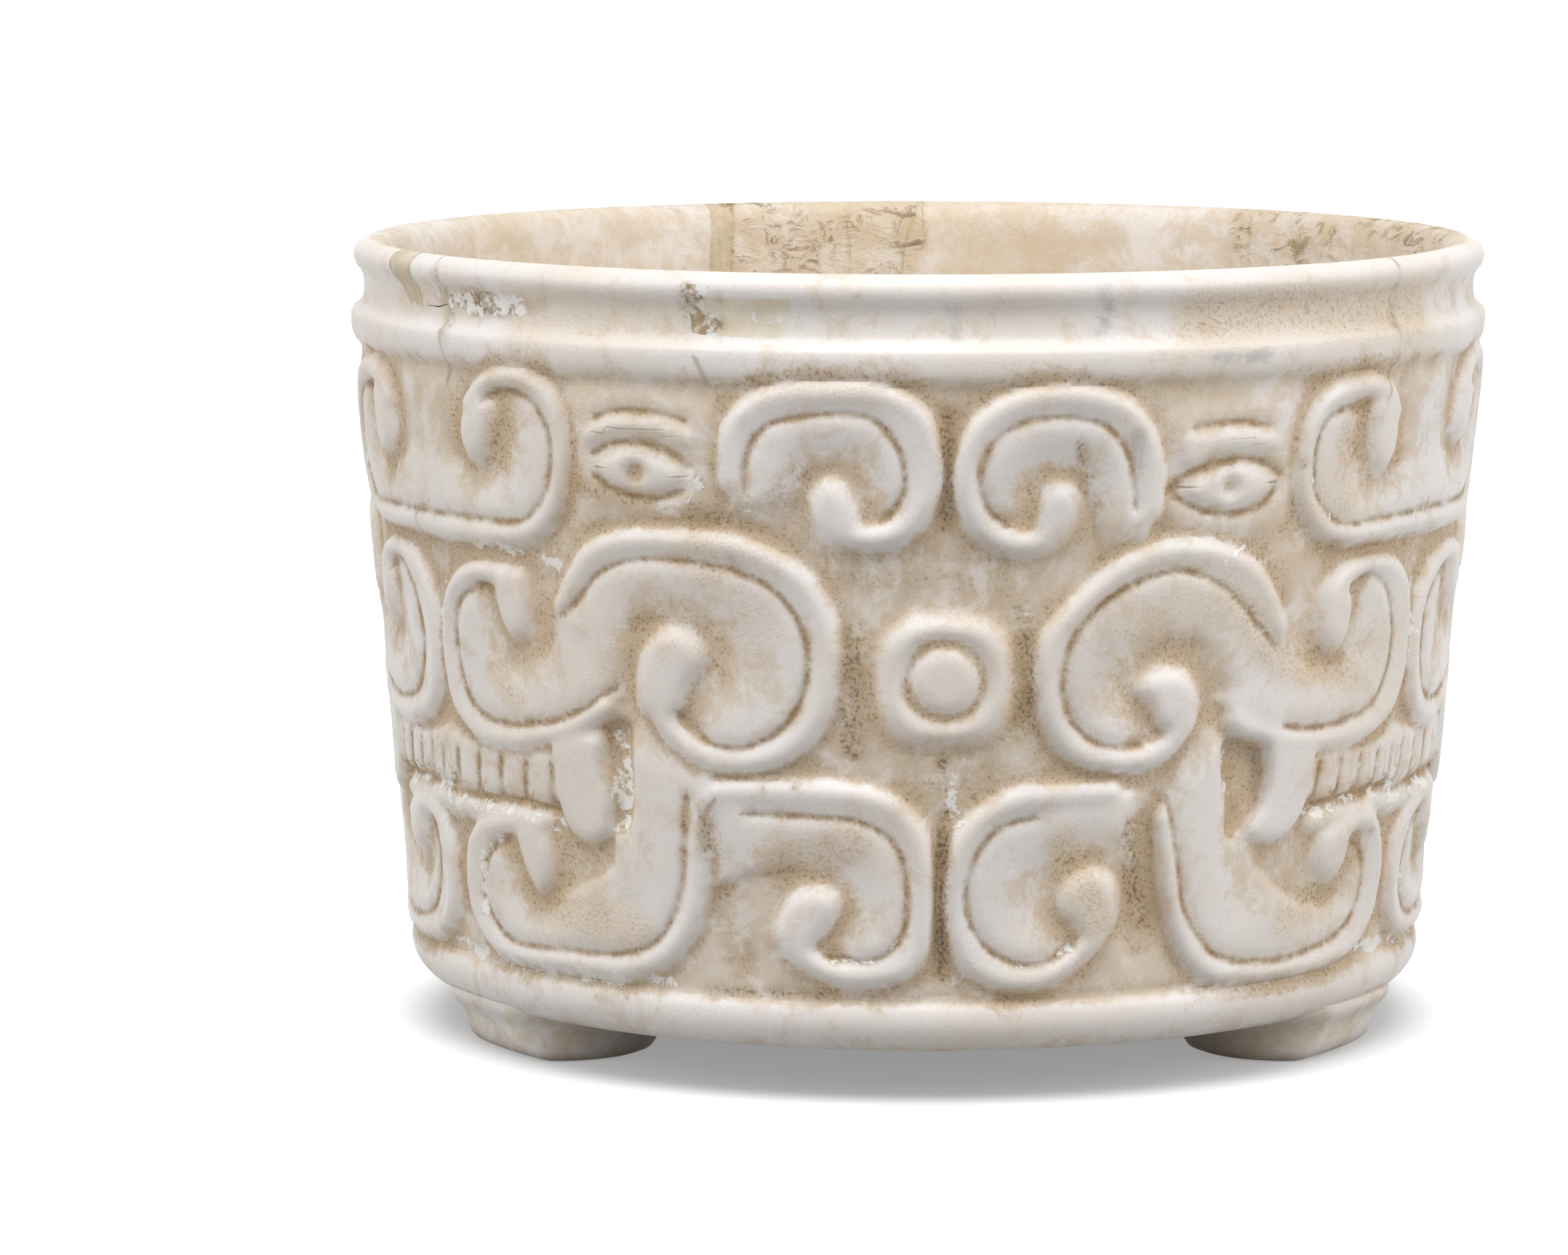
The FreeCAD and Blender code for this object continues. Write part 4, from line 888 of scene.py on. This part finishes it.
for name, (node, slot, kept_in, cut_by) in PIECES.items():
    steps = [("INTERSECT", block) for block in kept_in] + [("DIFFERENCE", block) for block in cut_by]
    mesh = joined_shape(blank, steps)
    mesh.name = name
    mesh.materials.clear()
    marked(mesh)
    mesh.shade_smooth()
    mesh.set_sharp_from_angle(angle=SMOOTH_ANGLE)
    piece = placed(name, mesh)
    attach(piece, "root")
    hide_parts(node)
    dressed[name] = piece
for thing in list(bpy.context.scene.collection.objects):
    if thing.type == "MESH" and thing.name.endswith(("_blank", "_gap", "_block", "_sides", "_foot")):
        bpy.data.objects.remove(thing)


def wired(tree, kind, inputs=None, **settings):
    """A new node with its settings made and its inputs set or linked."""
    node = tree.nodes.new(kind)
    for name, value in settings.items():
        setattr(node, name, value)
    for name, value in (inputs or {}).items():
        if isinstance(value, bpy.types.NodeSocket):
            tree.links.new(value, node.inputs[name])
        else:
            node.inputs[name].default_value = value
    return node


def maths(tree, operation, first, second=0.0, third=0.0, clamp=False):
    inputs = {0: first, 1: second, 2: third}
    return wired(tree, "ShaderNodeMath", inputs, operation=operation, use_clamp=clamp).outputs[0]


def stepped(tree, value, low, high, to_low=0.0, to_high=1.0):
    """A value drawn from one range to another with a soft S."""
    inputs = {"Value": value, "From Min": low, "From Max": high, "To Min": to_low, "To Max": to_high}
    return wired(tree, "ShaderNodeMapRange", inputs, interpolation_type="SMOOTHSTEP").outputs[0]


def mixed(tree, share, first, second, blend="MIX"):
    node = wired(tree, "ShaderNodeMix", data_type="RGBA", blend_type=blend)
    for socket, value in (("Factor_Float", share), ("A_Color", first), ("B_Color", second)):
        place = next(item for item in node.inputs if item.identifier == socket)
        if isinstance(value, bpy.types.NodeSocket):
            tree.links.new(value, place)
        else:
            place.default_value = value
    return next(item for item in node.outputs if item.identifier == "Result_Color")


def read_mark(tree, name):
    return wired(tree, "ShaderNodeAttribute", attribute_name=name).outputs["Fac"]


def grain(tree, place, scale, detail=3.0, roughness=0.55, distortion=0.0):
    return wired(tree, "ShaderNodeTexNoise", {"Vector": place, "Scale": scale, "Detail": detail,
                 "Roughness": roughness, "Distortion": distortion}).outputs["Fac"]


def colour(red, green, blue):
    """An sRGB colour of 0 to 255 as the linear colour that a shader takes."""
    parts = (red, green, blue)
    linear = [((part / 255 + 0.055) / 1.055) ** 2.4 if part > 10 else part / 3295 for part in parts]
    return (*linear, 1)


# Weathering: how stain, grime, crust and fine lines sit on the bowl's stone and fillers. Each layer is a
# cover, the most of it that shows, and a tone. Grains are scale per metre, detail, roughness and distortion.
TONES = {
    "stain": (201, 181, 153), "tan": (203, 179, 145), "grey vein": (158, 158, 162), "hollow": (179, 151, 114),
    "incised line": (146, 116, 76), "speck": (124, 98, 62), "grime": (158, 131, 92),
    "dark grime": (86, 72, 54), "crust": (237, 234, 230), "crack": (150, 124, 90), "inner blotch": (197, 177, 145),
    "broken face": (186, 160, 118), "pit": (118, 92, 58),
}
GRAINS = {
    "fine": (2600, 3, 0.6), "middling": (420, 4, 0.6), "broad": (70, 3, 0.5), "mottled": (240, 8, 0.74, 0.3),
    "cloudy": (36, 5, 0.66, 0.4), "patchy": (180, 4, 0.6), "crumbly": (520, 5, 0.7, 0.4),
}
STREAKS = (340, 5, 0.75, 1.2)
STREAK_STRETCH = (1.0, 1.0, 1.6)
GROOVE_LINE = 0.36
CRACK_LINE = 0.26
MARK_NAMES = ("exposure", "hollow", "grime", "crust", "inside", "broken", "tan", "grey_vein")
weathering = bpy.data.node_groups.new("weathering", "ShaderNodeTree")
GROUP_SOCKETS = [("Clean Colour", "INPUT", "Color"), ("Stain", "INPUT", "Float"),
                 ("Colour", "OUTPUT", "Color"), ("Roughness", "OUTPUT", "Float"),
                 ("Height", "OUTPUT", "Float")]
for socket, way, kind in GROUP_SOCKETS:
    weathering.interface.new_socket(socket, in_out=way, socket_type="NodeSocket" + kind)
given = weathering.nodes.new("NodeGroupInput")
place = wired(weathering, "ShaderNodeTexCoord").outputs["Object"]
grains = {name: grain(weathering, place, *sizes) for name, sizes in GRAINS.items()}
marks = {name: read_mark(weathering, name) for name in MARK_NAMES}


def times(*values):
    """The product of two or more values in the weathering."""
    product = values[0]
    for value in values[1:]:
        product = maths(weathering, "MULTIPLY", product, value)
    return product


def plus(base, value, share=1.0):
    """A base and a share of another value."""
    return maths(weathering, "MULTIPLY_ADD", value, share, base)


def eased(value, low, high, to_low=0.0, to_high=1.0):
    return stepped(weathering, value, low, high, to_low, to_high)


def layered(under, cover, most, tone):
    """A colour with a layer over it."""
    return mixed(weathering, times(cover, most), under, colour(*TONES[tone]))


def fine_line(mark, width):
    """A soft thin line where a mark's signed distance passes zero, kept to where the line counts."""
    side = maths(weathering, "DIVIDE", read_mark(weathering, mark + "_side"), width)
    square = maths(weathering, "POWER", maths(weathering, "ABSOLUTE", side), 2.0)
    line = maths(weathering, "EXPONENT", times(square, -1.0))
    return maths(weathering, "MULTIPLY", line, read_mark(weathering, mark + "_near"), clamp=True)


# Stain, tan clouds and grey veins
low = eased(marks["exposure"], 1.05, -0.05)
uneven = eased(grains["mottled"], 0.34, 0.66, -0.55, 0.55)
stain = maths(weathering, "ADD", low, uneven, clamp=True)
stain = maths(weathering, "MULTIPLY", stain, given.outputs["Stain"], clamp=True)
shade = layered(given.outputs["Clean Colour"], eased(stain, 0.1, 1.0), 0.6, "stain")
patches = times(eased(grains["cloudy"], 0.5, 0.72), eased(low, -0.1, 0.8, 0.12, 0.75), given.outputs["Stain"])
tan = maths(weathering, "MAXIMUM", patches, marks["tan"])
shade = layered(shade, tan, 0.5, "tan")
shade = layered(shade, times(marks["grey_vein"], eased(grains["mottled"], 0.35, 0.6)), 0.7, "grey vein")
# Dirt in the hollows and the incised lines, and specks where dirt lies
cavity = eased(plus(marks["hollow"], uneven, 0.22), 0.04, 0.4)
shade = layered(shade, cavity, 0.6, "hollow")
groove = fine_line("groove", GROOVE_LINE)
groove_dirt = times(groove, eased(grains["middling"], 0.38, 0.6, 0.3, 1.0))
shade = layered(shade, groove_dirt, 0.85, "incised line")
spotted = plus(plus(times(groove_dirt, 0.6), cavity, 0.6), tan, 0.5)
specks = times(eased(grains["fine"], 0.52, 0.64), eased(spotted, 0.1, 0.8, 0.05, 1.0))
shade = layered(shade, specks, 0.62, "speck")
# Grime and crust
gathered = times(marks["grime"], eased(grains["mottled"], 0.36, 0.6, 0.1, 1.0))
dark = times(eased(plus(grains["fine"], marks["grime"], 0.3), 0.72, 0.88), gathered)
shade = layered(shade, gathered, 0.65, "grime")
shade = layered(shade, dark, 0.8, "dark grime")
crust = plus(plus(-1.6, marks["crust"], 0.62), grains["crumbly"], 3.2)
crust = times(eased(crust, 0.4, 0.62), eased(marks["crust"], 0.02, 0.3))
shade = layered(shade, crust, 0.85, "crust")
# Cracks, the blotched inside and its broken stretches
hair = times(fine_line("hairline", CRACK_LINE), eased(grains["patchy"], 0.38, 0.6, 0.1, 1.0))
shade = layered(shade, hair, 0.55, "crack")
blotch = times(marks["inside"], eased(grains["broad"], 0.4, 0.7, 0.3, 1.0))
shade = layered(shade, blotch, 0.6, "inner blotch")
stretched = wired(weathering, "ShaderNodeVectorMath", {0: place, 1: STREAK_STRETCH}, operation="MULTIPLY")
streak = grain(weathering, stretched.outputs[0], *STREAKS)
broken = times(marks["broken"], eased(grains["patchy"], 0.4, 0.62, 0.15, 1.0))
shade = layered(shade, broken, 0.35, "broken face")
shade = layered(shade, times(broken, eased(streak, 0.51, 0.59)), 0.8, "pit")
# Roughness and height
rough = plus(plus(0.42, stain, 0.24), crust, 0.25)
relief_height = plus(times(groove, -0.5), times(marks["broken"], streak), 1.2)
relief_height = plus(relief_height, hair, -0.35)
relief_height = plus(relief_height, times(grains["fine"], maths(weathering, "ADD", tan, 0.25)), 0.5)
relief_height = plus(relief_height, crust, 0.25)
given_out = weathering.nodes.new("NodeGroupOutput")
for socket, value in (("Colour", shade), ("Roughness", rough), ("Height", relief_height)):
    weathering.links.new(value, given_out.inputs[socket])

BUMP_DISTANCE = 0.00035
BUMP_STRENGTH = 0.6
GLOW_THROUGH = 0.12
GLOW_DEPTH = 0.0015


def stone_material(name, clean, stain, gloss=0.5):
    """A worn stone or filler: its clean colour, made by a function of the tree, under the weathering."""
    material = bpy.data.materials.new(name)
    material.use_nodes = True
    tree = material.node_tree
    tree.nodes.clear()
    worn = wired(tree, "ShaderNodeGroup", node_tree=weathering)
    tree.links.new(clean(tree), worn.inputs["Clean Colour"])
    worn.inputs["Stain"].default_value = stain
    bump = wired(tree, "ShaderNodeBump", {"Height": worn.outputs["Height"], "Distance": BUMP_DISTANCE,
                 "Strength": BUMP_STRENGTH})
    skin = wired(tree, "ShaderNodeBsdfPrincipled", {"Base Color": worn.outputs["Colour"],
                 "Roughness": worn.outputs["Roughness"], "Normal": bump.outputs["Normal"],
                 "Specular IOR Level": gloss, "Subsurface Weight": GLOW_THROUGH,
                 "Subsurface Scale": GLOW_DEPTH})
    wired(tree, "ShaderNodeOutputMaterial", {"Surface": skin.outputs["BSDF"]})
    return material


def marble_colour(tree):
    """White marble with warm clouds, grey clouds and a sugary grain."""
    place = wired(tree, "ShaderNodeTexCoord").outputs["Object"]
    warm = stepped(tree, grain(tree, place, 40, 4, 0.6), 0.38, 0.66)
    body = mixed(tree, warm, colour(227, 222, 219), colour(222, 214, 205))
    grey = stepped(tree, grain(tree, place, 27, 4, 0.55, 0.6), 0.54, 0.72, 0.0, 0.55)
    body = mixed(tree, grey, body, colour(204, 202, 202))
    sugar = stepped(tree, grain(tree, place, 4600, 2, 0.6), 0.35, 0.7, 0.0, 0.16)
    return mixed(tree, sugar, body, colour(184, 177, 168))


def plaster_colour(shades, scale):
    """A function that makes a plaster's mottled colour from two shades."""
    def mottled(tree):
        place = wired(tree, "ShaderNodeTexCoord").outputs["Object"]
        return mixed(tree, stepped(tree, grain(tree, place, scale, 4, 0.65), 0.38, 0.62), *shades)
    return mottled


# The fillers: two shades, the scale of their mottle, how far they take stain, and their gloss
FILLERS = {
    "grey_plaster": ((208, 196, 176), (190, 176, 152), 300, 0.6, 0.25),
    "granular_filler": ((236, 233, 228), (150, 128, 100), 900, 0.8, 0.2),
    "toned_plaster": ((228, 219, 203), (216, 204, 184), 200, 0.5, 0.35),
}
FINISHES = {"marble": stone_material("worn_marble", marble_colour, 1.0)}
for name, (first, second, scale, stain, gloss) in FILLERS.items():
    filler = plaster_colour((colour(*first), colour(*second)), scale)
    FINISHES[name] = stone_material(name, filler, stain, gloss)
for name, piece in dressed.items():
    piece.data.materials.append(FINISHES[PIECES[name][1]])

# Stage: a pale floor that catches the bowl's shadow and has a painted shadow under it, where its glow for the
# camera dips to grey, white behind it, and soft studio lamps
FLOOR_HALF = 1.6
# The painted shadow: between these distances from the bowl's axis the floor's glow rises from grey to white
PAINTED_SHADOW_EDGE = (0.046, 0.0605)
PAINTED_SHADOW_GLOW = 0.3
FLOOR_GREY = (0.35, 0.35, 0.35, 1)
WHITE = (1, 1, 1, 1)
ROOM_LIGHT = 0.3
bm = bmesh.new()
bmesh.ops.create_grid(bm, x_segments=1, y_segments=1, size=FLOOR_HALF)
floor_mesh = bpy.data.meshes.new("studio_floor")
bm.to_mesh(floor_mesh)
bm.free()
floor = placed("studio_floor", floor_mesh)
floor_paint = bpy.data.materials.new("floor_paint")
floor_paint.use_nodes = True
tree = floor_paint.node_tree
tree.nodes.clear()
path = wired(tree, "ShaderNodeLightPath")
seen = maths(tree, "MAXIMUM", path.outputs["Is Camera Ray"], path.outputs["Is Glossy Ray"])
matt = wired(tree, "ShaderNodeBsdfDiffuse", {"Color": FLOOR_GREY})
spot = wired(tree, "ShaderNodeTexCoord").outputs["Object"]
away = wired(tree, "ShaderNodeVectorMath", {0: spot}, operation="LENGTH").outputs["Value"]
# Painted shadow: the floor's glow is grey under the bowl and white past its edge
painted_shadow_brightness = stepped(tree, away, *PAINTED_SHADOW_EDGE, PAINTED_SHADOW_GLOW, 1.0)
glow = wired(tree, "ShaderNodeEmission", {"Color": WHITE, "Strength": painted_shadow_brightness})
nothing = wired(tree, "ShaderNodeEmission", {"Color": (0, 0, 0, 1), "Strength": 0.0})
shown = wired(tree, "ShaderNodeMixShader", {0: seen, 1: nothing.outputs[0], 2: glow.outputs[0]})
paint = wired(tree, "ShaderNodeAddShader", {0: matt.outputs[0], 1: shown.outputs[0]})
wired(tree, "ShaderNodeOutputMaterial", {"Surface": paint.outputs[0]})
floor.data.materials.append(floor_paint)

world = bpy.data.worlds.new("studio")
world.use_nodes = True
bpy.context.scene.world = world
tree = world.node_tree
tree.nodes.clear()
path = wired(tree, "ShaderNodeLightPath")
seen = maths(tree, "MAXIMUM", path.outputs["Is Camera Ray"], path.outputs["Is Glossy Ray"])
room = wired(tree, "ShaderNodeBackground", {"Color": WHITE, "Strength": ROOM_LIGHT})
white = wired(tree, "ShaderNodeBackground", {"Color": WHITE, "Strength": 1.0})
sky = wired(tree, "ShaderNodeMixShader", {0: seen, 1: room.outputs[0], 2: white.outputs[0]})
wired(tree, "ShaderNodeOutputWorld", {"Surface": sky.outputs[0]})

LAMPS = [
    # name, place, width, height, watts
    ("overhead_softbox", (-0.05, -0.42, 0.95), 0.8, 0.6, 7.6),
    ("left_softbox", (-0.9, -0.4, 0.55), 0.5, 0.7, 4.6),
    ("right_softbox", (0.9, -0.4, 0.55), 0.5, 0.7, 6.0),
]
LAMP_AIM = (0, 0, 0.05)
for name, place, width, height, watts in LAMPS:
    lamp = bpy.data.lights.new(name, "AREA")
    lamp.shape = "RECTANGLE"
    lamp.size = width
    lamp.size_y = height
    lamp.energy = watts
    thing = bpy.data.objects.new(name, lamp)
    thing.location = place
    thing.rotation_euler = (Vector(LAMP_AIM) - Vector(place)).to_track_quat("-Z", "Y").to_euler()
    bpy.context.scene.collection.objects.link(thing)

# Camera: the photograph's own, found from the rim, the base moulding and the feet
CAMERA_PLACE = (-0.013824, -0.670724, 0.125756)
CAMERA_PITCH = 0.127
CAMERA_LENS = 149.04
CAMERA_SENSOR = 36
camera_data = bpy.data.cameras.new("photo_camera")
camera_data.lens = CAMERA_LENS
camera_data.sensor_width = CAMERA_SENSOR
camera_data.sensor_fit = "HORIZONTAL"
camera = bpy.data.objects.new("photo_camera", camera_data)
camera.location = CAMERA_PLACE
camera.rotation_euler = (math.pi / 2 - CAMERA_PITCH, 0, 0)
bpy.context.scene.collection.objects.link(camera)
bpy.context.scene.camera = camera
bpy.context.scene.view_settings.view_transform = "Standard"
